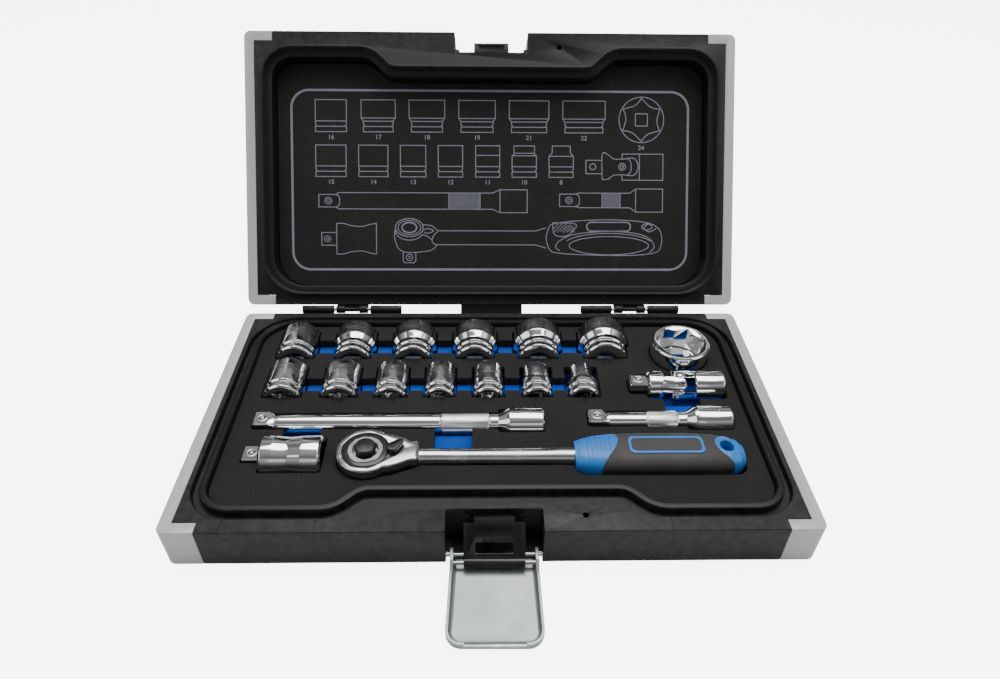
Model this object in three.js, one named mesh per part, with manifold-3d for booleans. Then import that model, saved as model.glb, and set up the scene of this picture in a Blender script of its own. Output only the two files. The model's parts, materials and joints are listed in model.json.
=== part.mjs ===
// Socket wrench set in a hinged case, millimetres, +Z up.
// Origin: centre of the base's underside. +X to the right, +Y to the hinges, the lid stands open.
import * as THREE from "three";
import { mergeVertices } from "three/addons/utils/BufferGeometryUtils.js";
import Module from "manifold-3d";

const wasm = await Module();
wasm.setup();

// ---------------------------------------------------------------- driving dimensions
const GAP = 0.3; // between pieces that touch
const CASE_W = 300;
const CASE_D = 166;
const BASE_H = 24.2;
const LID_H = 25;
const LID_GAP = 0.4; // rim to rim when closed
const LID_OPEN_DEG = 124.8;
const CORNER_R = 4;
const FLOOR = 2; // shell floor
const TRIM_SIDE = 6; // width of the end trims' long strip
const TRIM_LEG = 17; // how far a trim wraps round the corner
const TRIM_LEG_D = 6;

const FOAM_MARGIN = [16, 12, 15]; // rim width at the sides, at the back and at the front lobes
const BAY_DEPTH = 11.6; // how far the rim steps in at the front centre
const BAY_TOP = 63; // half width of the bay
const BAY_FOOT = 75;
const FOAM_R_BACK = 18;
const FOAM_R_FRONT = 13;
const RIDGE_W = 3.6;
const GROOVE_W = 3.4;
const GROOVE_DEPTH = 3;
const RIDGE_UP = 1.6; // the base's ridge stands above its rim
const TONGUE_W = 1.8;
const TONGUE_H = 2;

const FOAM_DROP = 1.5; // foam surface below the rim
const FOAM_SPLIT = 17.5; // top of the blue layer
const LID_RECESS = 13; // lid foam surface behind the lid's rim plane
const FOAM_JOINTS = [36.35, -0.5]; // y where the dark layer's three strips meet
const FIT = 0.5; // pocket clearance round a tool

const HINGE_BACK = 2.8; // pin axis behind the back wall
const HINGE_UP = 0.7; // and above the base's rim
const KNUCKLE_R = 2.4;
const PIN_R = 1;
const KNUCKLE_W = 19;
const KNUCKLE_GAP = 1.8;
const KNUCKLE_PITCH = KNUCKLE_W + KNUCKLE_GAP;
const ARM_H = 5; // how far a knuckle's arm runs up or down its wall
const HINGE_X = 86;
const STOP_HALF = 19;

const LEVER_HALF = 21.1;
const NOTCH_HALF = LEVER_HALF + 1.2;
const NOTCH_D = 13; // from the front wall
const PIN_SEAT = 4; // how far the latch pin runs into the base at each side
const HOLE_X = 41.5;
const HOLE_IN = 9; // from the front wall
const HOLE_R = 1.5;
const LEVER_SHEET = 1.2;
const LEVER_LEN = 44.6;
const LEVER_FOOT = -2.4;
const LEVER_CORNER_R = 7;
const LEVER_DEPTH = 4.2;
const EAR_R = 3.7;
const LEVER_PIVOT = [2.5, 4.5]; // from the front wall, height
const LEVER_REST_DEG = 91.8; // from upright to lying on the table
const LINK_HALF = 14;
const LINK_T = 3;
const LINK_LEN = 19.5;
const LINK_PIVOT = [-5.5, 1.5]; // from the lever's pivot, at rest
const LINK_REST_DEG = 53.5;
const NOSE_HALF = 8.6;
const NOSE_REACH = 3.8;
const CATCH_HALF = 10.6;
const CATCH_REACH = 6.4;
const CATCH_H = 3;

const DRIVE = 9.5; // 3/8 inch square
const BORE_FIT = 0.35; // a female square is this much wider
const BORE_CORNER = (DRIVE + BORE_FIT) * Math.SQRT1_2; // from a female square's axis to its corner
const BALL_R = 1.6;
const BALL_OUT = 0.8; // how far a detent ball stands out

const JOINT = [74.8, 126.2, 15.6, 23.5]; // x from, x to, y, z
const JOINT_WALL = 1.035;
const JOINT_R = BORE_CORNER + JOINT_WALL;
const JOINT_REACH = 9.6; // a yoke's solid body ends this far from the cross
const JOINT_SWING = 2.4; // room round the joint to bend up and sideways

// Sockets: size across flats, x, radius at the hex end, and the wall over the square bore's corner.
const SOCKET_L = 24.5;
const ROW_1_Y = 40.6;
const ROW_2_Y = 7.6;
const ROW_Z = 20;
const ROW_1 = [
  [16, -113, 11, 4.035],
  [17, -80, 12.2, 3.635],
  [18, -45.5, 12.9, 4.035],
  [19, -10, 13.2, 4.235],
  [21, 27, 14.3, 5.035],
  [22, 65.6, 14.8, 5.835],
];
const ROW_2 = [
  [15, -113.6, 10.6, 3.635],
  [14, -83, 10.2, 3.235],
  [13, -55.3, 9.2, 2.235],
  [12, -28.8, 8.7, 1.735],
  [11, -2.3, 8.4, 1.835],
  [10, 24.4, 7.8, 1.835],
  [8, 49.8, 6.7, 2.035],
];
const POCKET_WEB = 0.6; // foam left between the joint's pocket and the upright socket's
const BIG_R = 16.4;
const BIG_Y = JOINT[2] + JOINT_R + JOINT_SWING + POCKET_WEB + FIT + BIG_R;
const BIG = [24, 108, BIG_Y, BIG_R]; // size, x, y and radius of the upright socket
const BIG_STEP = 3.2; // its drive end is this much smaller in radius
const BIG_TOP = 32.5;

const BAR_R = 4.9;
const HEAD_WALL = 1.335;
const BAR_HEAD_R = BORE_CORNER + HEAD_WALL;
const BAR_HEAD_L = 19;
const LONG_BAR = [-123.6, 150, -10.8]; // x of the square end, length, y
const SHORT_BAR = [49.6, 75, -9.6];
const BAR_Z = 20.5;
const KNURL_R = 5.6;
const KNURL_END = 9.4; // from the head to the knurled band
const SQUARE_L = 9.5;

const FEMALE_DEPTH = 11;
const JOINT_MID = 101.5; // x of the cross
const CROSS = 7.4;
const CROSS_PIN_R = 1.5;
const YOKE_T = 3.2;
const YOKE_TIP = 3.6;

const ADAPTOR = [-123.4, -84, -34.6, 19.8];
const ADAPTOR_R = 11.5;
const ADAPTOR_BORE = 12.7;
const ADAPTOR_DEPTH = 17;
const SIDE_HOLE = [10, 2.8]; // from the adaptor's female end, radius

const RATCHET_Y = -36.4;
const RATCHET_Z = 22;
const HEAD_X = -62.5;
const HEAD_R = 14.4;
const HEAD_H = 12;
const NECK = [14, 26]; // from the head's centre, where the neck starts and stops narrowing
const NECK_IN = 3;
const SHAFT_R = 5.2;
const SHAFT_L = 76;
const SHAFT_WAIST = 0.6;
const COVER_IN = 2.6; // the cover ring inside the head's edge
const STEM_R = 7;
const SWITCH_X = 13.5; // the reversing lever's pin, from the head's centre
const SWITCH_PIN_R = 1.9;
const GRIP_X = [40, 123.6];
const GRIP_HALF = 12;
const GRIP_H = 18;
const GEAR_R = 9.2;
const GEAR_TEETH = 24;
const ANVIL_DROP = 10;
const BUTTON_R = 5.2;
const BUTTON_H = 3.4;
const FRONT_CAP_L = 17;
const END_CAP_L = 16;
const HANG_IN = 9; // from the handle's end
const HANG_R = 3.6;
const BADGE = [66, 103, 5.6]; // x from, x to, half width
const BADGE_DEPTH = 1;

// Strips and finger pockets in the dark layer: x from, x to, y from, y to.
const CHANNELS = [
  [-105, 56, ROW_1_Y + 4.6, ROW_1_Y + 16.6],
  [-105, 44, ROW_2_Y + 5, ROW_2_Y + 15.4],
  [-107, -88, -26, -10],
  [-30, -10.6, -30.6, -10],
  [92, 112, -10, 12],
];

const BACK = CASE_D / 2;
const FOAM_TOP = BASE_H - FOAM_DROP;
const HINGE_Y = BACK + HINGE_BACK;
const HINGE_Z = BASE_H + HINGE_UP;

// ---------------------------------------------------------------- materials
const paint = (color, roughness, metalness = 0) =>
  new THREE.MeshStandardMaterial({ color, roughness, metalness });
const looks = {
  shell: () => paint(0x1d1d1f, 0.5),
  trim: () => paint(0xb9bdc2, 0.35, 0.6),
  foam: () => paint(0x343230, 0.95),
  blueFoam: () => paint(0x0f3c82, 0.9),
  lever: () => paint(0xb4b9bb, 0.35, 0.8),
  link: () => paint(0x141416, 0.5),
  chrome: () => paint(0xd5d7da, 0.12, 1),
  satin: () => paint(0x9a9ba0, 0.3, 1),
  black: () => paint(0x111113, 0.4),
  blueGrip: () => paint(0x2f83cf, 0.55),
  grip: () => paint(0x3a3a3c, 0.8),
};

// ---------------------------------------------------------------- solids
// A closed geometry as a manifold-3d solid.
function solid(geometry) {
  const plain = geometry.clone();
  plain.deleteAttribute("normal");
  plain.deleteAttribute("uv");
  const merged = mergeVertices(plain, 1e-4);
  return new wasm.Manifold(
    new wasm.Mesh({
      numProp: 3,
      vertProperties: new Float32Array(merged.attributes.position.array),
      triVerts: new Uint32Array(merged.index.array),
    }),
  );
}

function geometryOf(made) {
  const mesh = made.getMesh();
  const geometry = new THREE.BufferGeometry();
  geometry.setAttribute("position", new THREE.BufferAttribute(mesh.vertProperties, 3));
  geometry.setIndex(new THREE.BufferAttribute(mesh.triVerts, 1));
  const flat = geometry.toNonIndexed();
  flat.computeVertexNormals();
  return flat;
}

const box = (x0, x1, y0, y1, z0, z1) => {
  const g = new THREE.BoxGeometry(x1 - x0, y1 - y0, z1 - z0);
  g.translate((x0 + x1) / 2, (y0 + y1) / 2, (z0 + z1) / 2);
  return solid(g);
};

// A cylinder between two places along an axis; at holds the two other coordinates in x, y, z order.
function rod(axis, from, to, at, r, sides = 16) {
  const g = new THREE.CylinderGeometry(r, r, to - from, sides);
  const mid = (from + to) / 2;
  if (axis === "x") {
    g.rotateZ(-Math.PI / 2);
    g.translate(mid, at[0], at[1]);
  } else if (axis === "y") {
    g.translate(at[0], mid, at[1]);
  } else {
    g.rotateX(Math.PI / 2);
    g.translate(at[0], at[1], mid);
  }
  return solid(g);
}

// A shape in the XY plane raised from z0 to z1.
function prism(shape, z0, z1, curveSegments = 4) {
  const g = new THREE.ExtrudeGeometry(shape, { depth: z1 - z0, bevelEnabled: false, curveSegments });
  g.translate(0, 0, z0);
  return solid(g);
}

// A turned solid about +Z from pairs of [radius, height].
function turned(profile, sides = 16) {
  const points = profile.map(([r, z]) => new THREE.Vector2(r, z));
  const g = new THREE.LatheGeometry(points, sides);
  g.rotateX(Math.PI / 2);
  return solid(g);
}

const join = (...parts) => parts.reduce((a, b) => a.add(b));
const cut = (from, ...parts) => parts.reduce((a, b) => a.subtract(b), from);

// A closed outline from corners [x, y, radius], moved outwards by grow, its round corners drawn as arcs.
function outline(corners, grow = 0) {
  const n = corners.length;
  const edges = corners.map(([x, y], i) => {
    const [nx, ny] = corners[(i + 1) % n];
    const length = Math.hypot(nx - x, ny - y);
    const dir = [(nx - x) / length, (ny - y) / length];
    return { dir, at: [x + dir[1] * grow, y - dir[0] * grow] };
  });
  const shape = new THREE.Shape();
  corners.forEach(([, , radius], i) => {
    const a = edges[(i + n - 1) % n];
    const b = edges[i];
    const turn = a.dir[0] * b.dir[1] - a.dir[1] * b.dir[0];
    const gapX = b.at[0] - a.at[0];
    const gapY = b.at[1] - a.at[1];
    const along = (gapX * b.dir[1] - gapY * b.dir[0]) / turn;
    const corner = [a.at[0] + a.dir[0] * along, a.at[1] + a.dir[1] * along];
    const side = Math.sign(turn);
    const r = Math.max(radius + side * grow, 0.2);
    const back = r * Math.abs(Math.tan(Math.asin(Math.min(1, Math.abs(turn))) / 2));
    const start = [corner[0] - a.dir[0] * back, corner[1] - a.dir[1] * back];
    const centre = [start[0] - a.dir[1] * r * side, start[1] + a.dir[0] * r * side];
    const from = Math.atan2(start[1] - centre[1], start[0] - centre[0]);
    const to = from + side * Math.asin(Math.min(1, Math.abs(turn)));
    if (i === 0) shape.moveTo(start[0], start[1]);
    else shape.lineTo(start[0], start[1]);
    shape.absarc(centre[0], centre[1], r, from, to, side < 0);
  });
  return shape;
}

const rounded = (x0, x1, y0, y1, r) =>
  outline([[x0, y0, r], [x1, y0, r], [x1, y1, r], [x0, y1, r]]);

// The inner edge of the rim: a rounded tray that steps in behind the latch.
function bayCorners() {
  const [side, back, front] = FOAM_MARGIN;
  const x = CASE_W / 2 - side;
  const y = BACK - back;
  const lobe = -BACK + front;
  const bay = lobe + BAY_DEPTH;
  return [
    [x, y, FOAM_R_BACK],
    [-x, y, FOAM_R_BACK],
    [-x, lobe, FOAM_R_FRONT],
    [-BAY_FOOT, lobe, FOAM_R_FRONT],
    [-BAY_TOP, bay, FOAM_R_FRONT],
    [BAY_TOP, bay, FOAM_R_FRONT],
    [BAY_FOOT, lobe, FOAM_R_FRONT],
    [x, lobe, FOAM_R_FRONT],
  ];
}
const bay = (grow, z0, z1) => prism(outline(bayCorners(), grow), z0, z1);
const ring = (inner, outer, z0, z1) => cut(bay(outer, z0, z1), bay(inner, z0 - 1, z1 + 1));

// ---------------------------------------------------------------- scene graph
const set = new THREE.Group();
const lid = new THREE.Group(); // modelled closed and rim down, then swung open about the hinge pins
lid.position.set(0, HINGE_Y, HINGE_Z);
lid.rotation.x = THREE.MathUtils.degToRad(-LID_OPEN_DEG);
set.add(lid);

function piece(name, made, look, parent = set) {
  const mesh = new THREE.Mesh(geometryOf(made), looks[look]());
  mesh.name = name;
  parent.add(mesh);
  return mesh;
}

// ---------------------------------------------------------------- case halves
// The block outline and the two end trims are the same for both halves.
const block = (z0, z1) => prism(rounded(-CASE_W / 2, CASE_W / 2, -BACK, BACK, CORNER_R), z0, z1);

function trimZone(side, grow, z0, z1) {
  const x = (inset) => [side * (CASE_W / 2 + 1), side * (CASE_W / 2 - inset)].sort((a, b) => a - b);
  const strip = x(TRIM_SIDE + grow);
  const leg = x(TRIM_LEG + grow);
  const legY = BACK - TRIM_LEG_D - grow;
  return join(
    box(...strip, -BACK - 1, BACK + 1, z0, z1),
    box(...leg, legY, BACK + 1, z0, z1),
    box(...leg, -BACK - 1, -legY, z0, z1),
  );
}

const trim = (side, z0, z1) => block(z0, z1).intersect(trimZone(side, 0, z0 - 1, z1 + 1));

// A half's shell: the block less both trims and the tray.
function shell(z0, z1, trayFrom, trayTo) {
  return cut(
    block(z0, z1),
    trimZone(-1, GAP, z0 - 1, z1 + 1),
    trimZone(1, GAP, z0 - 1, z1 + 1),
    bay(0, trayFrom, trayTo),
  );
}

// One hinge knuckle with its arm; the arm runs down for the base and up for the lid.
function knuckle(x, up) {
  const y = BACK - 0.5;
  const reach = up ? ARM_H : -ARM_H;
  const edge = up ? GAP * 2 : -HINGE_UP - GAP;
  const arm = box(
    x - KNUCKLE_W / 2,
    x + KNUCKLE_W / 2,
    y,
    HINGE_Y,
    HINGE_Z + Math.min(reach, edge),
    HINGE_Z + Math.max(reach, edge),
  );
  const barrel = rod("x", x - KNUCKLE_W / 2, x + KNUCKLE_W / 2, [HINGE_Y, HINGE_Z], KNUCKLE_R, 12);
  return join(arm, barrel);
}

const knuckleX = (side, slot) => side * HINGE_X + slot * KNUCKLE_PITCH;
const pinHole = (side) =>
  rod("x", side * HINGE_X - 60, side * HINGE_X + 60, [HINGE_Y, HINGE_Z], PIN_R + GAP, 12);

function notch(z0, z1) {
  return box(-NOTCH_HALF, NOTCH_HALF, -BACK - 1, -BACK + NOTCH_D, z0, z1);
}

function makeBase() {
  let made = shell(0, BASE_H, FLOOR, BASE_H + 1);
  made = join(made, ring(0, RIDGE_W, BASE_H - GROOVE_DEPTH, BASE_H + RIDGE_UP));
  made = cut(made, ring(RIDGE_W, RIDGE_W + GROOVE_W, BASE_H - GROOVE_DEPTH, BASE_H + 1));
  for (const side of [-1, 1]) {
    made = join(made, knuckle(knuckleX(side, -1), false), knuckle(knuckleX(side, 1), false));
    made = cut(made, pinHole(side));
  }
  const [fromFront, z] = LEVER_PIVOT;
  const pivotY = -BACK + fromFront;
  made = cut(
    made,
    notch(FLOOR, BASE_H + 3),
    box(-NOTCH_HALF, NOTCH_HALF, -BACK - 1, pivotY + 4.6, -1, BASE_H),
    rod("x", -NOTCH_HALF - PIN_SEAT, NOTCH_HALF + PIN_SEAT, [pivotY, z], PIN_R + GAP, 12),
    rod("z", BASE_H - 6, BASE_H + 1, [HOLE_X, -BACK + HOLE_IN], HOLE_R, 10),
  );
  piece("base_shell", made, "shell");
  piece("base_trim_left", trim(-1, 0, BASE_H), "trim");
  piece("base_trim_right", trim(1, 0, BASE_H), "trim");
  for (const [name, side] of [["hinge_pin_left", -1], ["hinge_pin_right", 1]]) {
    const half = KNUCKLE_PITCH + KNUCKLE_W / 2;
    const at = side * HINGE_X;
    piece(name, rod("x", at - half, at + half, [HINGE_Y, HINGE_Z], PIN_R, 12), "satin");
  }
  const reach = NOTCH_HALF + PIN_SEAT - GAP;
  piece("latch_base_pin", rod("x", -reach, reach, [pivotY, z], PIN_R, 12), "satin");
}

// Places in the lid's group are measured from the hinge axis.
function makeLid() {
  const rim = BASE_H + LID_GAP;
  const top = rim + LID_H;
  let made = shell(rim, top, rim - 1, top - FLOOR);
  made = join(made, ring(0, RIDGE_W + GROOVE_W, rim + RIDGE_UP + 1.4, top - 1));
  made = cut(made, ring(-0.01, RIDGE_W + 0.6, rim - 1, rim + RIDGE_UP + 0.4));
  const tongueIn = RIDGE_W + (GROOVE_W - TONGUE_W) / 2;
  made = join(made, ring(tongueIn, tongueIn + TONGUE_W, rim - TONGUE_H, rim + 1));
  for (const side of [-1, 1]) {
    made = join(made, knuckle(knuckleX(side, 0), true));
    made = cut(made, pinHole(side));
  }
  const catchBack = -BACK + NOTCH_D;
  const stop = box(-STOP_HALF, STOP_HALF, BACK - 1, HINGE_Y + 4.2, HINGE_Z + GAP, HINGE_Z + 3.2);
  made = cut(
    join(made, stop),
    notch(rim - 4, top + 1),
    rod("z", rim - 1, rim + 6, [HOLE_X, -BACK + HOLE_IN], HOLE_R, 10),
  );
  made = join(
    made,
    box(-CATCH_HALF, CATCH_HALF, catchBack - CATCH_REACH, catchBack + 1, rim, rim + CATCH_H),
  );
  const place = (name, body, look) =>
    piece(name, body.translate([0, -HINGE_Y, -HINGE_Z]), look, lid);
  place("lid_shell", made, "shell");
  place("lid_trim_left", trim(-1, rim, top), "trim");
  place("lid_trim_right", trim(1, rim, top), "trim");
  place("lid_foam", bay(-GAP, rim + LID_RECESS, top - FLOOR - GAP), "foam");
}

// ---------------------------------------------------------------- latch
// The lever is drawn upright, as it stands when closed, then laid down about its pin.
function makeLatch() {
  const [fromFront, z] = LEVER_PIVOT;
  const y = -BACK + fromFront;
  const outer = -BACK - y - 0.2;
  const lever = new THREE.Group();
  lever.position.set(0, y, z);
  lever.rotation.x = THREE.MathUtils.degToRad(LEVER_REST_DEG);
  set.add(lever);

  const face = new THREE.Shape();
  const foot = LEVER_FOOT;
  const r = LEVER_CORNER_R;
  face.moveTo(-LEVER_HALF + 1, foot);
  face.lineTo(LEVER_HALF - 1, foot);
  face.lineTo(LEVER_HALF, LEVER_LEN - r);
  face.absarc(LEVER_HALF - r, LEVER_LEN - r, r, 0, Math.PI / 2, false);
  face.lineTo(-LEVER_HALF + r, LEVER_LEN);
  face.absarc(-LEVER_HALF + r, LEVER_LEN - r, r, Math.PI / 2, Math.PI, false);
  face.closePath();
  // the face lies in x and z; depth runs inwards, to +Y
  const depth = LEVER_DEPTH;
  const pan = new THREE.ExtrudeGeometry(face, { depth, bevelEnabled: false, curveSegments: 5 });
  pan.rotateX(Math.PI / 2);
  pan.translate(0, outer + depth, 0);
  const shrink = (LEVER_HALF - LEVER_SHEET) / LEVER_HALF;
  const inner = new THREE.ExtrudeGeometry(face, { depth, bevelEnabled: false, curveSegments: 5 });
  inner.scale(shrink, (LEVER_LEN - LEVER_SHEET) / LEVER_LEN, 1);
  inner.rotateX(Math.PI / 2);
  inner.translate(0, outer + depth + LEVER_SHEET, 0);
  const openFoot = box(-LEVER_HALF + 2, LEVER_HALF - 2, outer + LEVER_SHEET, 9, foot - 1, 8);
  const ear = (side) => {
    const x = side * (LEVER_HALF - 0.7);
    const from = Math.min(x, x - side * LEVER_SHEET * 1.4);
    const to = Math.max(x, x - side * LEVER_SHEET * 1.4);
    return join(
      box(from, to, outer, EAR_R, -2.2, 9.5),
      rod("x", from, to, [0, 0], EAR_R, 16).intersect(box(from, to, outer, 4, -4, 4)),
    );
  };
  const turn = THREE.MathUtils.degToRad(-LEVER_REST_DEG);
  const [py, pz] = LINK_PIVOT;
  const pin = [
    py * Math.cos(turn) - pz * Math.sin(turn),
    py * Math.sin(turn) + pz * Math.cos(turn),
  ];
  let made = cut(solid(pan), solid(inner));
  made = join(cut(made, openFoot), ear(-1), ear(1));
  made = cut(
    made,
    rod("x", -30, 30, [0, 0], PIN_R + GAP, 12),
    rod("x", -30, 30, pin, PIN_R + GAP, 12),
  );
  piece("latch_lever", made, "lever", lever);
  piece("latch_link_pin", rod("x", -LEVER_HALF + 0.8, LEVER_HALF - 0.8, pin, PIN_R, 12), "satin", lever);

  const link = new THREE.Group();
  link.position.set(0, y + py, z + pz);
  link.rotation.x = THREE.MathUtils.degToRad(LINK_REST_DEG - 90);
  set.add(link);
  const half = LINK_T / 2;
  const plate = box(-LINK_HALF, LINK_HALF, -half, half, 0, LINK_LEN + half);
  const window = box(-NOSE_HALF, NOSE_HALF, -half - 1, half + 1, 3.4, 9.6);
  const nose = box(-NOSE_HALF, NOSE_HALF, 0, NOSE_REACH, LINK_LEN - half, LINK_LEN + half);
  const barrel = rod("x", -LINK_HALF, LINK_HALF, [0, 0], 2.5, 14);
  const bore = rod("x", -LINK_HALF - 1, LINK_HALF + 1, [0, 0], PIN_R + GAP, 12);
  piece("latch_link", cut(join(plate, nose, barrel), window, bore), "link", link);
}

// ---------------------------------------------------------------- tools
// A detent ball in the top face of a male square: its seat is cut, and the ball sits in it.
const seat = (x, y, z) => rod("z", z - BALL_R - BALL_OUT - GAP, z + 5, [x, y], BALL_R + GAP, 10);

function ball(x, y, z, name) {
  const g = new THREE.SphereGeometry(BALL_R, 10, 6);
  const mesh = new THREE.Mesh(g, looks.satin());
  mesh.name = name;
  mesh.position.set(x, y, z);
  set.add(mesh);
}

const ballZ = (z) => z + DRIVE / 2 + BALL_OUT - BALL_R;

const socketProfile = (hexR, driveR) => [
  [0, 0],
  [driveR, 0],
  [driveR, 3.6],
  [driveR - 0.9, 4.4],
  [driveR - 0.9, 5.6],
  [driveR, 6.4],
  [driveR, 9.6],
  [hexR, hexR > driveR ? 13 : 14.5],
  [hexR, SOCKET_L],
  [0, SOCKET_L],
];

// A socket standing on its drive end, hex up.
function socketBody(size, hexR, driveR) {
  const body = turned(socketProfile(hexR, driveR));
  const across = size + BORE_FIT;
  const hexDepth = Math.max(9, SOCKET_L - 12);
  const hex = rod("z", SOCKET_L - hexDepth, SOCKET_L + 1, [0, 0], across / Math.sqrt(3), 6);
  const half = (DRIVE + BORE_FIT) / 2;
  const square = box(-half, half, -half, half, -1, SOCKET_L - hexDepth + 0.5);
  return cut(body, hex, square);
}

function makeSockets() {
  const lay = (rows, y) => {
    for (const [size, x, hexR, wall] of rows) {
      const mesh = piece(`socket_${size}mm`, socketBody(size, hexR, BORE_CORNER + wall), "chrome");
      mesh.rotation.x = -Math.PI / 2;
      mesh.position.set(x, y, ROW_Z);
    }
  };
  lay(ROW_1, ROW_1_Y);
  lay(ROW_2, ROW_2_Y);
  const [size, x, y, r] = BIG;
  const mesh = piece(`socket_${size}mm`, socketBody(size, r, r - BIG_STEP), "chrome");
  mesh.position.set(x, y, BIG_TOP - SOCKET_L);
}

const squareEnd = (x0, x1, y, z) => {
  const h = DRIVE / 2;
  return box(x0, x1, y - h, y + h, z - h, z + h);
};
const squareBore = (x0, x1, y, z, side = DRIVE) => {
  const h = (side + BORE_FIT) / 2;
  return box(x0, x1, y - h, y + h, z - h, z + h);
};

function alongX(profile, x, y, z, sides = 16) {
  return turned(profile, sides).rotate([0, 90, 0]).translate([x, y, z]);
}

function makeBar(name, [x, length, y]) {
  const head = length - BAR_HEAD_L;
  const knurlTo = head - KNURL_END;
  const knurlFrom = knurlTo - Math.min(25, length * 0.21);
  const body = alongX(
    [
      [0, SQUARE_L - 1],
      [BAR_R, SQUARE_L + 1],
      [BAR_R, knurlFrom],
      [KNURL_R, knurlFrom + 0.5],
      [KNURL_R, knurlTo - 0.5],
      [BAR_R, knurlTo],
      [BAR_R, head - 4],
      [BAR_HEAD_R - 0.6, head],
      [BAR_HEAD_R, head + 0.6],
      [BAR_HEAD_R, length - 0.6],
      [BAR_HEAD_R - 0.6, length],
      [0, length],
    ],
    x, y, BAR_Z,
  );
  const ballX = x + SQUARE_L / 2;
  const made = cut(
    join(body, squareEnd(x, x + SQUARE_L + 2, y, BAR_Z)),
    squareBore(x + length - FEMALE_DEPTH, x + length + 1, y, BAR_Z),
    seat(ballX, y, ballZ(BAR_Z)),
  );
  piece(name, made, "chrome");
  ball(ballX, y, ballZ(BAR_Z), `${name}_ball`);
}

// The joint's two yokes and its cross are drawn at the origin, then turned 45 degrees about X.
function makeJoint() {
  const [from, to, y, z] = JOINT;
  const left = from - JOINT_MID;
  const right = to - JOINT_MID;
  const reach = JOINT_REACH;
  const tilt = (body) => body.rotate([45, 0, 0]);
  const arm = (sign, along) => {
    const slot = CROSS / 2 + GAP;
    const out = Math.min(slot + YOKE_T, JOINT_R);
    const [a, b] = [sign * slot, sign * out].sort((p, q) => p - q);
    const x = along < 0 ? [-reach - 1, 0] : [0, reach + 1];
    return join(
      box(...x, -YOKE_TIP, YOKE_TIP, a, b),
      rod("z", a, b, [0, 0], YOKE_TIP, 14),
    );
  };
  const bored = (body) => cut(body, rod("z", -JOINT_R - 2, JOINT_R + 2, [0, 0], CROSS_PIN_R + GAP, 12));
  const round = (x0, x1) => rod("x", x0, x1, [0, 0], JOINT_R, 16);
  const arms = (along) => join(arm(-1, along), arm(1, along));
  const within = rod("x", -reach - 2, reach + 2, [0, 0], JOINT_R, 16);
  const male = bored(join(round(left + SQUARE_L, -reach), arms(-1).intersect(within)));
  const female = bored(join(round(reach, right), arms(1).intersect(within))).rotate([90, 0, 0]);
  const at = [JOINT_MID, y, z];
  const ballX = from + SQUARE_L / 2;
  const maleYoke = cut(
    join(tilt(male).translate(at), squareEnd(from, from + SQUARE_L + 1, y, z)),
    seat(ballX, y, ballZ(z)),
  );
  const femaleYoke = cut(tilt(female).translate(at), squareBore(to - FEMALE_DEPTH, to + 1, y, z));
  const half = CROSS / 2;
  const cross = join(
    box(-half, half, -half, half, -half, half),
    rod("z", -JOINT_R + 0.8, JOINT_R - 0.8, [0, 0], CROSS_PIN_R, 12),
    rod("y", -JOINT_R + 0.8, JOINT_R - 0.8, [0, 0], CROSS_PIN_R, 12),
  );
  piece("ujoint_male_yoke", maleYoke, "chrome");
  piece("ujoint_cross", tilt(cross).translate(at), "satin");
  piece("ujoint_female_yoke", femaleYoke, "chrome");
  ball(ballX, y, ballZ(z), "ujoint_ball");
}

function makeAdaptor() {
  const [from, to, y, z] = ADAPTOR;
  const body = alongX(
    [
      [0, SQUARE_L],
      [ADAPTOR_R - 0.8, SQUARE_L],
      [ADAPTOR_R, SQUARE_L + 0.8],
      [ADAPTOR_R, SQUARE_L + 7],
      [ADAPTOR_R - 0.7, SQUARE_L + 14],
      [ADAPTOR_R, SQUARE_L + 22],
      [ADAPTOR_R, to - from - 0.8],
      [ADAPTOR_R - 0.8, to - from],
      [0, to - from],
    ],
    from, y, z, 20,
  );
  const ballX = from + SQUARE_L / 2;
  const [holeIn, holeR] = SIDE_HOLE;
  const made = cut(
    join(body, squareEnd(from, from + SQUARE_L + 1, y, z)),
    squareBore(to - ADAPTOR_DEPTH, to + 1, y, z, ADAPTOR_BORE),
    rod("y", y - ADAPTOR_R - 1, y, [to - holeIn, z], holeR, 12),
    seat(ballX, y, ballZ(z)),
  );
  piece("adaptor", made, "chrome");
  ball(ballX, y, ballZ(z), "adaptor_ball");
}

// ---------------------------------------------------------------- ratchet
function gearShape() {
  const shape = new THREE.Shape();
  const step = (2 * Math.PI) / GEAR_TEETH;
  for (let i = 0; i < GEAR_TEETH; i++) {
    const a = i * step;
    const tip = [GEAR_R * Math.cos(a), GEAR_R * Math.sin(a)];
    const root = [(GEAR_R - 0.8) * Math.cos(a + step / 2), (GEAR_R - 0.8) * Math.sin(a + step / 2)];
    if (i === 0) shape.moveTo(...tip);
    else shape.lineTo(...tip);
    shape.lineTo(...root);
  }
  shape.closePath();
  return shape;
}

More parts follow.
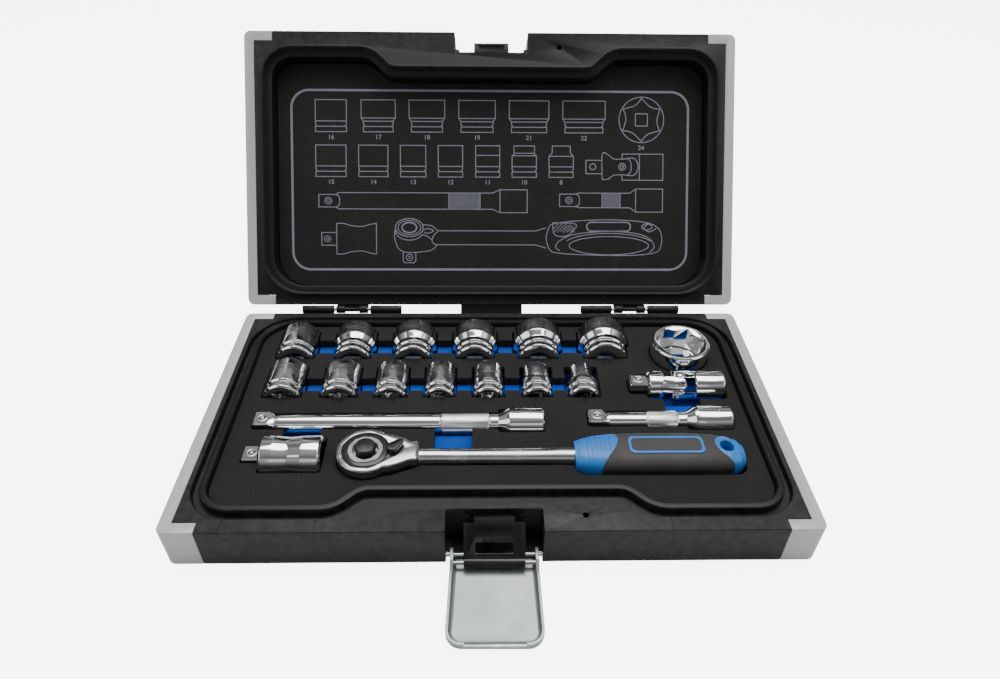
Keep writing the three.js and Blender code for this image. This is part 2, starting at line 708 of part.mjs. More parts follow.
function makeRatchetHead() {
  const y = RATCHET_Y;
  const low = RATCHET_Z - HEAD_H / 2;
  const high = RATCHET_Z + HEAD_H / 2;
  const at = [HEAD_X, y];
  const [neckFrom, neckTo] = NECK;
  const neck = new THREE.Shape();
  neck.moveTo(HEAD_X, y - HEAD_R);
  neck.lineTo(HEAD_X + neckFrom, y - HEAD_R + NECK_IN);
  neck.lineTo(HEAD_X + neckTo, y - SHAFT_R);
  neck.lineTo(HEAD_X + neckTo, y + SHAFT_R);
  neck.lineTo(HEAD_X + neckFrom, y + HEAD_R - NECK_IN);
  neck.lineTo(HEAD_X, y + HEAD_R);
  neck.closePath();
  const blank = join(
    rod("z", low, high, at, HEAD_R, 28),
    prism(neck, low + 0.5, high - 0.5),
    alongX(
      [[0, 0], [SHAFT_R, 0], [SHAFT_R - SHAFT_WAIST, 30], [SHAFT_R, SHAFT_L], [0, SHAFT_L]],
      HEAD_X + neckTo - 2, y, RATCHET_Z,
    ),
  );
  const ringR = HEAD_R - COVER_IN;
  const leverX = HEAD_X + SWITCH_X;
  const made = cut(
    blank,
    rod("z", low + 2, high + 1, at, GEAR_R + 0.8, 24),
    rod("z", high - 1.6, high + 1, at, ringR, 24),
    rod("z", low - 1, low + 3, at, STEM_R + 0.4, 20),
    rod("z", low + 2, high + 1, [leverX, y], SWITCH_PIN_R + GAP, 12),
    box(HEAD_X + GEAR_R - 1, leverX + 2, y - 3.4, y + 3.4, low + 2, high - 2.4),
  );
  piece("ratchet_body", made, "satin");

  const cover = cut(
    rod("z", high - 1.3, high + 0.5, at, ringR - GAP, 24),
    rod("z", low, high + 2, at, BUTTON_R + 1.6, 20),
  );
  piece("ratchet_cover_ring", cover, "satin");

  const h = DRIVE / 2;
  const stem = rod("z", low - 1, low + 2.6, at, STEM_R, 20);
  const gear = prism(gearShape(), low + 2.4, high - 1.8).translate([HEAD_X, y, 0]);
  const square = box(HEAD_X - h, HEAD_X + h, y - h, y + h, low - ANVIL_DROP, low);
  const ballHeight = low - ANVIL_DROP + 4.6;
  const ballX = HEAD_X - h - BALL_OUT + BALL_R;
  const ballBack = ballX + BALL_R + BALL_OUT + GAP;
  const ballHole = rod("x", HEAD_X - h - 1, ballBack, [y, ballHeight], BALL_R + GAP, 10);
  const buttonHole = rod("z", high - 5.4, high + 1, at, BUTTON_R - 0.6, 16);
  piece("drive_anvil", cut(join(stem, gear, square), ballHole, buttonHole), "satin");
  ball(ballX, y, ballHeight, "drive_ball");

  const button = join(
    rod("z", high + 0.2, high + BUTTON_H, at, BUTTON_R, 18),
    rod("z", high - 3, high + 1, at, BUTTON_R - 1.2, 16),
  );
  piece("quick_release_button", button, "black");

  const vane = new THREE.Shape();
  vane.absarc(0, 0, 2.9, Math.PI * 0.9, Math.PI * 2.1, false);
  vane.lineTo(1.2, 6.4);
  vane.lineTo(-1.2, 6.4);
  vane.closePath();
  const lever = join(
    prism(vane, high + 0.9, high + 3, 3).rotate([0, 0, -45]).translate([leverX, y, 0]),
    rod("z", high - 5, high + 1, [leverX, y], SWITCH_PIN_R, 12),
  );
  piece("reversing_lever", lever, "black");
  const pawl = box(HEAD_X + GEAR_R + GAP, leverX + 1, y - 2.6, y + 2.6, low + 2.6, low + 5.4);
  piece("ratchet_pawl", pawl, "satin");
}

// The handle's plan, narrowed a little at both ends.
function gripShape(x0, x1, grow = 0) {
  const half = GRIP_HALF + grow;
  const y = RATCHET_Y;
  return outline([
    [x0, y - half, 6],
    [x1, y - half, 6],
    [x1, y + half, 6],
    [x0, y + half, 6],
  ]);
}

function makeHandle() {
  const [x0, x1] = GRIP_X;
  const y = RATCHET_Y;
  const low = RATCHET_Z - GRIP_H / 2;
  const high = RATCHET_Z + GRIP_H / 2;
  const whole = prism(gripShape(x0, x1), low, high);
  const frontX = x0 + FRONT_CAP_L;
  const endX = x1 - END_CAP_L;
  const shaftEnd = HEAD_X + NECK[1] - 2 + SHAFT_L;
  const bore = rod("x", x0 - 1, shaftEnd + GAP, [y, RATCHET_Z], SHAFT_R + GAP, 16);
  const zone = (a, b) => box(a, b, y - 20, y + 20, low - 1, high + 1);
  const hang = rod("z", low - 1, high + 1, [x1 - HANG_IN, y], HANG_R, 16);
  const [badgeFrom, badgeTo, badgeHalf] = BADGE;
  const badge = (grow, z0, z1) => {
    const half = badgeHalf + grow;
    return prism(rounded(badgeFrom - grow, badgeTo + grow, y - half, y + half, 2.5), z0, z1, 3);
  };
  piece("handle_front_cap", cut(whole.intersect(zone(x0 - 1, frontX)), bore), "blueGrip");
  piece(
    "handle_grip",
    cut(whole.intersect(zone(frontX + GAP, endX)), bore, badge(GAP, high - BADGE_DEPTH, high + 1)),
    "grip",
  );
  piece("handle_badge", badge(0, high - BADGE_DEPTH + GAP, high + 0.2), "blueGrip");
  piece("handle_end_cap", cut(whole.intersect(zone(endX + GAP, x1 + 1)), hang), "blueGrip");
}

// ---------------------------------------------------------------- foam insert
// One pocket for every tool, a little larger than the tool and open upwards.
function pockets() {
  const up = BASE_H + 5;
  const holes = [];
  const socketPocket = (x, y, r) =>
    box(x - r - FIT, x + r + FIT, y - FIT, y + SOCKET_L + FIT, ROW_Z - r - FIT, up);
  for (const [rows, y] of [[ROW_1, ROW_1_Y], [ROW_2, ROW_2_Y]]) {
    for (const [, x, hexR, wall] of rows) holes.push(socketPocket(x, y, Math.max(hexR, BORE_CORNER + wall)));
  }
  const [, bigX, bigY, bigR] = BIG;
  holes.push(rod("z", BIG_TOP - SOCKET_L - FIT, up, [bigX, bigY], bigR + FIT, 20));
  for (const [x, length, y] of [LONG_BAR, SHORT_BAR]) {
    const shank = Math.max(KNURL_R, DRIVE / 2) + FIT;
    const head = BAR_HEAD_R + FIT;
    holes.push(
      box(x - FIT, x + length, y - shank, y + shank, BAR_Z - shank, up),
      box(x + length - BAR_HEAD_L - 5, x + length + FIT, y - head, y + head, BAR_Z - head, up),
    );
  }
  const [jx0, jx1, jy, jz] = JOINT;
  const swing = JOINT_R + JOINT_SWING;
  const squareRoom = DRIVE / 2 + 0.65;
  const jointRoom = DRIVE / 2 + 1.25;
  holes.push(
    box(jx0 - FIT, jx0 + SQUARE_L + 2, jy - jointRoom, jy + jointRoom, jz - jointRoom, up),
    box(jx0 + SQUARE_L - FIT, jx1 + 1.6, jy - swing, jy + swing, jz - JOINT_R - 1.6, up),
  );
  const [ax0, ax1, ay, az] = ADAPTOR;
  const ar = ADAPTOR_R + FIT;
  holes.push(
    box(ax0 - FIT, ax0 + SQUARE_L + 2, ay - squareRoom, ay + squareRoom, az - squareRoom, up),
    box(ax0 + SQUARE_L - FIT, ax1 + FIT, ay - ar, ay + ar, az - ar, up),
  );
  const y = RATCHET_Y;
  const headLow = RATCHET_Z - HEAD_H / 2 - FIT;
  holes.push(
    rod("z", headLow, up, [HEAD_X, y], HEAD_R + FIT, 24),
    rod("z", headLow - ANVIL_DROP - 0.6, up, [HEAD_X, y], 8.4, 20),
    box(HEAD_X, HEAD_X + NECK[1] + 1, y - HEAD_R + 1, y + HEAD_R - 1, headLow, up),
    box(HEAD_X + NECK[1], GRIP_X[0] + 1, y - SHAFT_R - FIT, y + SHAFT_R + FIT, RATCHET_Z - SHAFT_R - FIT, up),
    prism(gripShape(GRIP_X[0] - FIT, GRIP_X[1] + FIT, FIT), RATCHET_Z - GRIP_H / 2 - 2 * FIT, up),
  );
  return join(...holes);
}

// The strips and finger pockets are cut down to the blue layer.
function channels() {
  const low = FOAM_SPLIT - 1;
  const up = BASE_H + 5;
  return join(...CHANNELS.map(([x0, x1, y0, y1]) => box(x0, x1, y0, y1, low, up)));
}

// The dark layer is three strips across the case; the blue layer below is one sheet.
function makeFoam() {
  const holes = pockets();
  const dark = cut(bay(-GAP, FOAM_SPLIT + GAP, FOAM_TOP), holes, channels());
  const blue = cut(bay(-GAP, FLOOR + GAP, FOAM_SPLIT), holes);
  const [back, front] = FOAM_JOINTS;
  const strip = (y0, y1) => dark.intersect(box(-CASE_W, CASE_W, y0, y1, 0, BASE_H));
  piece("foam_top_back", strip(back + GAP / 2, BACK), "foam");
  piece("foam_top_middle", strip(front + GAP / 2, back - GAP / 2), "foam");
  piece("foam_top_front", strip(-BACK, front - GAP / 2), "foam");
  piece("foam_insert_blue", blue, "blueFoam");
}

makeBase();
makeLid();
makeLatch();
makeFoam();
makeSockets();
makeBar("long_extension", LONG_BAR);
makeBar("short_extension", SHORT_BAR);
makeJoint();
makeAdaptor();
makeRatchetHead();
makeHandle();

export default set;
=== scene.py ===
"""Socket wrench set in a hinged case: the detailed visual model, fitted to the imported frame."""
import json
import math

import bmesh
import bpy
from mathutils import Matrix, Vector


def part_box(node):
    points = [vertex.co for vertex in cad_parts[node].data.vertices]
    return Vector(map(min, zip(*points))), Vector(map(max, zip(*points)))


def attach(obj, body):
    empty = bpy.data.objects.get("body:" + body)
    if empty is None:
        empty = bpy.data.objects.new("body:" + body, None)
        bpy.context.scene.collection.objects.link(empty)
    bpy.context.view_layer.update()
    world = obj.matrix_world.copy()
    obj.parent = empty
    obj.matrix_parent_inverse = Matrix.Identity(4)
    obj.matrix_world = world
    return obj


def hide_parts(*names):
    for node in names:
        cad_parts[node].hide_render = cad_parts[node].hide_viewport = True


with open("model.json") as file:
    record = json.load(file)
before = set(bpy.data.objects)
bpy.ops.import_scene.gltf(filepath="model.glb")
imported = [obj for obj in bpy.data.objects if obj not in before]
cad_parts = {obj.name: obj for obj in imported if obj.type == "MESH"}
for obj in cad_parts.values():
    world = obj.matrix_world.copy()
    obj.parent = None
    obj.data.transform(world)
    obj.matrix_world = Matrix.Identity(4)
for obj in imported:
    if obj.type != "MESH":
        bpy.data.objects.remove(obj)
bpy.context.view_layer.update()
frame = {"record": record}

bl_info = {
    "name": "Socket Wrench Set",
    "version": (1, 0, 0),
    "blender": (4, 5, 0),
    "location": "View3D > Sidebar > Socket Set",
    "description": "Builds a hinged case with a cut foam insert, sockets, bars, joint, adaptor and ratchet",
    "category": "Add Mesh",
}

MM = 0.001
SMOOTH_DEG = 34


# ---------------------------------------------------------------- places from the frame
def span(node):
    """The lowest and highest corner of a solid, in millimetres."""
    low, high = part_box(node)
    return low / MM, high / MM


def joint(name):
    return next(j for j in frame["record"]["behaviour"]["joints"] if j["name"] == name)


def pivot(name):
    return Vector(joint(name)["pos_m"]) / MM


CASE_HIGH = span("base_trim_right")[1]
HALF_W = CASE_HIGH.x
HALF_D = CASE_HIGH.y
BASE_H = CASE_HIGH.z
HINGE = pivot("lid_hinge")
LID_TURN = math.radians(-joint("lid_hinge")["range_deg"][0])
LID_RIM = BASE_H + 0.4
LID_TOP = LID_RIM + 25
LID_SWING = (
    Matrix.Translation(HINGE) @ Matrix.Rotation(-LID_TURN, 4, "X") @ Matrix.Translation(-HINGE)
)
FOAM_TOP = span("foam_top_front")[1].z
LAYER = span("foam_insert_blue")[1].z
LID_FOAM_FACE = LID_RIM + 13


# ---------------------------------------------------------------- shaping
def outline(corners, grow=0.0, steps=6):
    """Points of a closed outline from corners [x, y, radius], moved outwards by grow."""
    n = len(corners)
    edges = []
    for i, (x, y, _) in enumerate(corners):
        nx, ny, _ = corners[(i + 1) % n]
        d = Vector((nx - x, ny - y)).normalized()
        edges.append((d, Vector((x + d.y * grow, y - d.x * grow))))
    points = []
    for i, (_, _, radius) in enumerate(corners):
        (da, pa), (db, pb) = edges[i - 1], edges[i]
        turn = da.x * db.y - da.y * db.x
        gap = pb - pa
        corner = pa + da * ((gap.x * db.y - gap.y * db.x) / turn)
        side = math.copysign(1, turn)
        r = max(radius + side * grow, 0.05)
        angle = math.asin(min(1, abs(turn)))
        start = corner - da * (r * abs(math.tan(angle / 2)))
        centre = start + Vector((-da.y, da.x)) * r * side
        first = math.atan2(start.y - centre.y, start.x - centre.x)
        for k in range(steps + 1):
            a = first + side * angle * k / steps
            points.append((centre.x + r * math.cos(a), centre.y + r * math.sin(a)))
    return points


def oblong(x0, x1, y0, y1, r):
    return [[x0, y0, r], [x1, y0, r], [x1, y1, r], [x0, y1, r]]


def filleted(points, steps=4):
    """An open line through [a, b, radius] points, its corners rounded."""
    out = []
    for i, p in enumerate(points):
        here = Vector(p[:2])
        r = p[2] if len(p) > 2 else 0
        if r <= 0 or i in (0, len(points) - 1):
            out.append(tuple(here))
            continue
        to_last = (Vector(points[i - 1][:2]) - here).normalized()
        to_next = (Vector(points[i + 1][:2]) - here).normalized()
        half = to_last.angle(to_next) / 2
        back = r / math.tan(half)
        centre = here + (to_last + to_next).normalized() * (r / math.sin(half))
        a, b = here + to_last * back - centre, here + to_next * back - centre
        sweep = a.angle_signed(b)
        for k in range(steps + 1):
            turned_by = Matrix.Rotation(-sweep * k / steps, 2)
            out.append(tuple(centre + turned_by @ a))
    return out


def solid(points, faces):
    mesh = bpy.data.meshes.new("blank")
    mesh.from_pydata([tuple(p) for p in points], [], faces)
    bm = bmesh.new()
    bm.from_mesh(mesh)
    bmesh.ops.remove_doubles(bm, verts=bm.verts, dist=1e-4)
    bmesh.ops.recalc_face_normals(bm, faces=bm.faces)
    bm.to_mesh(mesh)
    bm.free()
    obj = bpy.data.objects.new("blank", mesh)
    bpy.context.scene.collection.objects.link(obj)
    return obj


def stack(loops, ring=False):
    """A closed solid through loops of points, one above the other; a ring joins the last to the first."""
    n = len(loops[0])
    points = [p for loop in loops for p in loop]
    rows = len(loops) if ring else len(loops) - 1
    faces = []
    for i in range(rows):
        a, b = i * n, ((i + 1) % len(loops)) * n
        faces += [[a + k, a + (k + 1) % n, b + (k + 1) % n, b + k] for k in range(n)]
    if not ring:
        faces += [list(range(n))[::-1], [(len(loops) - 1) * n + k for k in range(n)]]
    return solid(points, faces)


def band(corners, profile, steps=8, ring=False):
    """Loops of an outline at [grow, height] pairs: a tray or block, or a closed ring round it."""
    loops = [[(x, y, z) for x, y in outline(corners, g, steps)] for g, z in profile]
    return stack(loops, ring)


def prism(corners, z0, z1, ease=0.25, steps=6):
    profile = [(-ease, z0), (0, z0 + ease), (0, z1 - ease), (-ease, z1)]
    return band(corners, profile if ease else [(0, z0), (0, z1)], steps)


def brick(x0, x1, y0, y1, z0, z1):
    xs, ys, zs = sorted((x0, x1)), sorted((y0, y1)), sorted((z0, z1))
    loops = [[(xs[i], ys[j], z) for i, j in ((0, 0), (1, 0), (1, 1), (0, 1))] for z in zs]
    return stack(loops)


def lathe(profile, steps=48, ring=False):
    """A solid turned about Z from [radius, height] pairs."""
    turn = 2 * math.pi / steps
    loops = [
        [(r * math.cos(k * turn), r * math.sin(k * turn), z) for k in range(steps)]
        for r, z in profile
    ]
    return stack(loops, ring)


def put(obj, *moves):
    """obj's mesh after the given matrices, the first one first."""
    for m in moves:
        obj.data.transform(m)
        if m.determinant() < 0:
            obj.data.flip_normals()
    return obj


def shift(x, y, z):
    return Matrix.Translation((x, y, z))


ALONG_X = Matrix.Rotation(math.pi / 2, 4, "Y")
ALONG_Y = Matrix.Rotation(-math.pi / 2, 4, "X")
SIDE_ON = Matrix(((0, 0, 1, 0), (1, 0, 0, 0), (0, 1, 0, 0), (0, 0, 0, 1)))  # drawn in Y and Z, raised along X


def rod(axis, a, b, at, r, steps=32):
    """A cylinder along an axis from a to b; at holds the two other coordinates in x, y, z order."""
    body = lathe([(r, a), (r, b)], steps)
    if axis == "x":
        return put(body, ALONG_X, shift(0, *at))
    if axis == "y":
        return put(body, ALONG_Y, shift(at[0], 0, at[1]))
    return put(body, shift(at[0], at[1], 0))


def settle(obj):
    """Applies obj's modifiers."""
    made = bpy.data.meshes.new_from_object(obj.evaluated_get(bpy.context.evaluated_depsgraph_get()))
    old = obj.data
    obj.modifiers.clear()
    obj.data = made
    bpy.data.meshes.remove(old)
    return obj


def combine(body, tools, how):
    for tool in tools:
        m = body.modifiers.new("shape", "BOOLEAN")
        m.operation = how
        m.solver = "EXACT"
        m.object = tool
    settle(body)
    for tool in tools:
        bpy.data.meshes.remove(tool.data)
    return body


def cut(body, *tools):
    return combine(body, tools, "DIFFERENCE")


def join(body, *tools):
    return combine(body, tools, "UNION")


def common(body, *tools):
    return combine(body, tools, "INTERSECT")


def soften(body, width=0.3, rounds=2, angle=40):
    m = body.modifiers.new("edge", "BEVEL")
    m.width = width
    m.segments = rounds
    m.limit_method = "ANGLE"
    m.angle_limit = math.radians(angle)
    m.use_clamp_overlap = True
    return settle(body)


def fit(name, body, finish, rides, nodes=(), smooth=SMOOTH_DEG, origin=None):
    """Scales a finished shape to metres, gives it its finish and hangs it on its body of the frame."""
    mesh = body.data
    if origin is not None:
        mesh.transform(Matrix.Translation(-Vector(origin)))
    mesh.transform(Matrix.Scale(MM, 4))
    mesh.materials.clear()
    mesh.materials.append(FINISHES[finish])
    mesh.shade_smooth()
    mesh.set_sharp_from_angle(angle=math.radians(smooth))
    mesh.name = body.name = name
    if origin is not None:
        body.location = Vector(origin) * MM
    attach(body, rides)
    if nodes:
        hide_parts(*nodes)
    return body


# ---------------------------------------------------------------- finishes
FINISHES = {}


def effect(name, inputs, outputs):
    """An empty effect group with named number inputs and outputs."""
    tree = bpy.data.node_groups.new(name, "ShaderNodeTree")
    for label, default in inputs:
        tree.interface.new_socket(
            label, in_out="INPUT", socket_type="NodeSocketFloat"
        ).default_value = default
    for label in outputs:
        tree.interface.new_socket(label, in_out="OUTPUT", socket_type="NodeSocketFloat")
    return tree, tree.nodes.new("NodeGroupInput"), tree.nodes.new("NodeGroupOutput")


def noise_at(tree, scale_from, factor, detail, stretch=(1, 1, 1)):
    """A noise in the piece's own coordinates, its scale a group input times factor."""
    where = tree.nodes.new("ShaderNodeTexCoord")
    mapping = tree.nodes.new("ShaderNodeMapping")
    mapping.inputs["Scale"].default_value = stretch
    times = tree.nodes.new("ShaderNodeMath")
    times.operation = "MULTIPLY"
    times.inputs[1].default_value = factor
    noise = tree.nodes.new("ShaderNodeTexNoise")
    noise.inputs["Detail"].default_value = detail
    tree.links.new(where.outputs["Object"], mapping.inputs["Vector"])
    tree.links.new(mapping.outputs["Vector"], noise.inputs["Vector"])
    tree.links.new(scale_from, times.inputs[0])
    tree.links.new(times.outputs[0], noise.inputs["Scale"])
    return noise.outputs[0]


def ranged(tree, value, low, high, to_low=0.0, to_high=1.0):
    node = tree.nodes.new("ShaderNodeMapRange")
    for label, v in (("From Min", low), ("From Max", high), ("To Min", to_low), ("To Max", to_high)):
        node.inputs[label].default_value = v
    tree.links.new(value, node.inputs["Value"])
    return node.outputs[0]


def math_node(tree, how, a, b):
    node = tree.nodes.new("ShaderNodeMath")
    node.operation = how
    for i, v in enumerate((a, b)):
        if isinstance(v, (int, float)):
            node.inputs[i].default_value = v
        else:
            tree.links.new(v, node.inputs[i])
    return node.outputs[0]


def make_effects():
    """Grain, foam cells, drawn lines, smudges, worn edges and dust, each built once."""
    tree, given, out = effect("Moulded grain", [("Scale", 1400.0)], ["Height", "Patch"])
    tree.links.new(noise_at(tree, given.outputs[0], 1.0, 2.0), out.inputs["Height"])
    tree.links.new(ranged(tree, noise_at(tree, given.outputs[0], 0.03, 3.0), 0.35, 0.65), out.inputs["Patch"])

    tree, given, out = effect("Foam cells", [("Scale", 900.0)], ["Height", "Speckle"])
    fine = noise_at(tree, given.outputs[0], 1.0, 3.0)
    coarse = noise_at(tree, given.outputs[0], 0.3, 2.0)
    tree.links.new(
        math_node(tree, "ADD", fine, math_node(tree, "MULTIPLY", coarse, 0.6)), out.inputs["Height"]
    )
    tree.links.new(ranged(tree, fine, 0.42, 0.66), out.inputs["Speckle"])

    tree, given, out = effect("Drawn lines", [("Scale", 500.0)], ["Height", "Streak"])
    drawn = noise_at(tree, given.outputs[0], 1.0, 2.0, (0.05, 1, 1))
    tree.links.new(drawn, out.inputs["Height"])
    tree.links.new(ranged(tree, drawn, 0.35, 0.65), out.inputs["Streak"])

    tree, given, out = effect("Smudges", [("Scale", 60.0)], ["Mask"])
    tree.links.new(ranged(tree, noise_at(tree, given.outputs[0], 1.0, 4.0), 0.45, 0.75), out.inputs["Mask"])

    tree, given, out = effect("Worn edges", [("Scale", 250.0)], ["Mask"])
    geometry = tree.nodes.new("ShaderNodeNewGeometry")
    crest = ranged(tree, geometry.outputs["Pointiness"], 0.53, 0.6)
    broken = ranged(tree, noise_at(tree, given.outputs[0], 1.0, 3.0), 0.3, 0.7)
    tree.links.new(math_node(tree, "MULTIPLY", crest, broken), out.inputs["Mask"])

    tree, given, out = effect("Settled dust", [("Scale", 2500.0)], ["Mask"])
    geometry = tree.nodes.new("ShaderNodeNewGeometry")
    split = tree.nodes.new("ShaderNodeSeparateXYZ")
    tree.links.new(geometry.outputs["Normal"], split.inputs[0])
    up = ranged(tree, split.outputs["Z"], 0.3, 1.0)
    specks = ranged(tree, noise_at(tree, given.outputs[0], 1.0, 2.0), 0.68, 0.74)
    tree.links.new(math_node(tree, "MULTIPLY", up, specks), out.inputs["Mask"])


class Recipe:
    """A material being mixed: each step places an effect group and blends it in."""

    def __init__(self, name, colour, rough, metal=0.0, coat=0.0, specular=0.5):
        self.material = bpy.data.materials.new(name)
        self.material.use_nodes = True
        self.material.diffuse_color = (*colour, 1)
        self.tree = self.material.node_tree
        self.shader = self.tree.nodes["Principled BSDF"]
        self.shader.inputs["Base Color"].default_value = (*colour, 1)
        self.shader.inputs["Roughness"].default_value = rough
        self.shader.inputs["Metallic"].default_value = metal
        self.shader.inputs["Specular IOR Level"].default_value = specular
        if coat:
            self.shader.inputs["Coat Weight"].default_value = coat
            self.shader.inputs["Coat Roughness"].default_value = 0.12
        FINISHES[name] = self.material

    def group(self, name, scale):
        node = self.tree.nodes.new("ShaderNodeGroup")
        node.node_tree = bpy.data.node_groups[name]
        node.inputs["Scale"].default_value = scale
        return node

    def tint(self, mask, colour, amount=1.0):
        """Blends a colour in where the mask is high."""
        mix = self.tree.nodes.new("ShaderNodeMix")
        mix.data_type = "RGBA"
        base = self.shader.inputs["Base Color"]
        if base.is_linked:
            self.tree.links.new(base.links[0].from_socket, mix.inputs[6])
        else:
            mix.inputs[6].default_value = base.default_value
        mix.inputs[7].default_value = (*colour, 1)
        share = mask if amount == 1.0 else math_node(self.tree, "MULTIPLY", mask, amount)
        self.tree.links.new(share, mix.inputs[0])
        self.tree.links.new(mix.outputs[2], base)
        return self

    def rough(self, mask, low, high):
        self.tree.links.new(ranged(self.tree, mask, 0, 1, low, high), self.shader.inputs["Roughness"])
        return self

    def bump(self, height, strength, distance=0.0001):
        node = self.tree.nodes.new("ShaderNodeBump")
        node.inputs["Strength"].default_value = strength
        node.inputs["Distance"].default_value = distance
        self.tree.links.new(height, node.inputs["Height"])
        self.tree.links.new(node.outputs[0], self.shader.inputs["Normal"])
        return self


def make_finishes(look):
    make_effects()
    r = Recipe("black moulding", look.shell, 0.42, specular=0.3)
    grain = r.group("Moulded grain", 3200.0)
    wear = r.group("Worn edges", 260.0)
    r.tint(
        grain.outputs["Patch"], [c * 1.1 for c in look.shell], 0.3
    ).tint(wear.outputs[0], (0.05, 0.05, 0.054), 0.4)
    r.rough(grain.outputs["Patch"], 0.41, 0.43).bump(grain.outputs["Height"], 0.05, 0.00005)

    r = Recipe("silver paint", look.trim, 0.38, 0.25)
    grain = r.group("Moulded grain", 2200.0)
    wear = r.group("Worn edges", 300.0)
    r.tint(
        grain.outputs["Patch"], [c * 0.93 for c in look.trim], 0.7
    ).tint(wear.outputs[0], (0.88, 0.89, 0.9), 0.4)
    r.rough(grain.outputs["Patch"], 0.34, 0.42).bump(grain.outputs["Height"], 0.08)

    for name, colour, lift in (("dark foam", look.foam, 2.6), ("blue foam", look.foam_blue, 1.6)):
        r = Recipe(name, colour, 0.95, specular=0.2)
        cells = r.group("Foam cells", 1500.0)
        patch = r.group("Moulded grain", 900.0)
        r.tint(cells.outputs["Speckle"], [min(1, c * lift) for c in colour], 0.55)
        r.tint(patch.outputs["Patch"], [c * 0.75 for c in colour], 0.35)
        r.bump(cells.outputs["Height"], 0.6, 0.0003)

    r = Recipe("lever paint", look.lever, 0.3, 0.6)
    grain = r.group("Moulded grain", 1800.0)
    wear = r.group("Worn edges", 260.0)
    r.tint(
        grain.outputs["Patch"], [c * 0.9 for c in look.lever], 0.6
    ).tint(wear.outputs[0], (0.85, 0.86, 0.87), 0.5)
    r.rough(grain.outputs["Patch"], 0.26, 0.34).bump(grain.outputs["Height"], 0.05)

    r = Recipe("gloss black", (0.006, 0.006, 0.007), 0.25)
    grain = r.group("Moulded grain", 1200.0)
    wear = r.group("Worn edges", 300.0)
    r.tint(grain.outputs["Patch"], (0.012, 0.012, 0.013), 0.6).tint(wear.outputs[0], (0.09, 0.09, 0.095), 0.5)
    r.rough(grain.outputs["Patch"], 0.2, 0.32).bump(grain.outputs["Height"], 0.06)

    r = Recipe("pin steel", (0.6, 0.6, 0.61), 0.28, 1.0)
    lines = r.group("Drawn lines", 700.0)
    r.tint(lines.outputs["Streak"], (0.45, 0.45, 0.46), 0.6).rough(lines.outputs["Streak"], 0.22, 0.36)
    r.bump(lines.outputs["Height"], 0.1, 0.00005)

    for name in ("polished chrome", "marked chrome"):
        r = Recipe(name, look.chrome, 0.07, 1.0)
        smudge = r.group("Smudges", 90.0)
        lines = r.group("Drawn lines", 900.0)
        r.tint(smudge.outputs[0], [c * 0.86 for c in look.chrome], 0.6)
        r.bump(lines.outputs["Height"], 0.04, 0.00003)
        if name == "marked chrome":
            mask = etched_rows(r.tree)
            r.tint(mask, (0.23, 0.17, 0.13), 0.75)
            r.rough(math_node(r.tree, "MAXIMUM", smudge.outputs[0], mask), 0.06, 0.3)
        else:
            r.rough(smudge.outputs[0], 0.06, 0.16)

    r = Recipe("satin chrome", look.satin, 0.24, 1.0)
    lines = r.group("Drawn lines", 800.0)
    smudge = r.group("Smudges", 70.0)
    wear = r.group("Worn edges", 260.0)
    r.tint(
        lines.outputs["Streak"], [c * 0.85 for c in look.satin], 0.5
    ).tint(wear.outputs[0], (0.8, 0.8, 0.82), 0.5)
    r.rough(smudge.outputs[0], 0.2, 0.34).bump(lines.outputs["Height"], 0.1, 0.00005)

    r = Recipe("blue grip", look.blue_grip, 0.42, coat=0.15)
    grain = r.group("Moulded grain", 1600.0)
    dust = r.group("Settled dust", 2600.0)
    r.tint(grain.outputs["Patch"], [c * 0.85 for c in look.blue_grip], 0.5)
    r.tint(dust.outputs[0], (0.35, 0.5, 0.7), 0.5)
    r.rough(grain.outputs["Patch"], 0.36, 0.48).bump(grain.outputs["Height"], 0.12)

    r = Recipe("grey grip", look.grey_grip, 0.62, specular=0.4)
    grain = r.group("Moulded grain", 2000.0)
    dust = r.group("Settled dust", 2600.0)
    r.tint(grain.outputs["Patch"], [c * 0.8 for c in look.grey_grip], 0.5)
    r.tint(dust.outputs[0], (0.2, 0.2, 0.2), 0.5)
    r.rough(grain.outputs["Patch"], 0.56, 0.7).bump(grain.outputs["Height"], 0.25, 0.00015)

    for name, colour in (("size ink", (0.0012, 0.0012, 0.0012)), ("print ink", look.print_ink)):
        r = Recipe(name, colour, 0.7, specular=0.3)
        cells = r.group("Foam cells", 1500.0)
        r.tint(
            cells.outputs["Speckle"], [c * 0.6 for c in colour], 0.6
        ).bump(cells.outputs["Height"], 0.4, 0.0002)


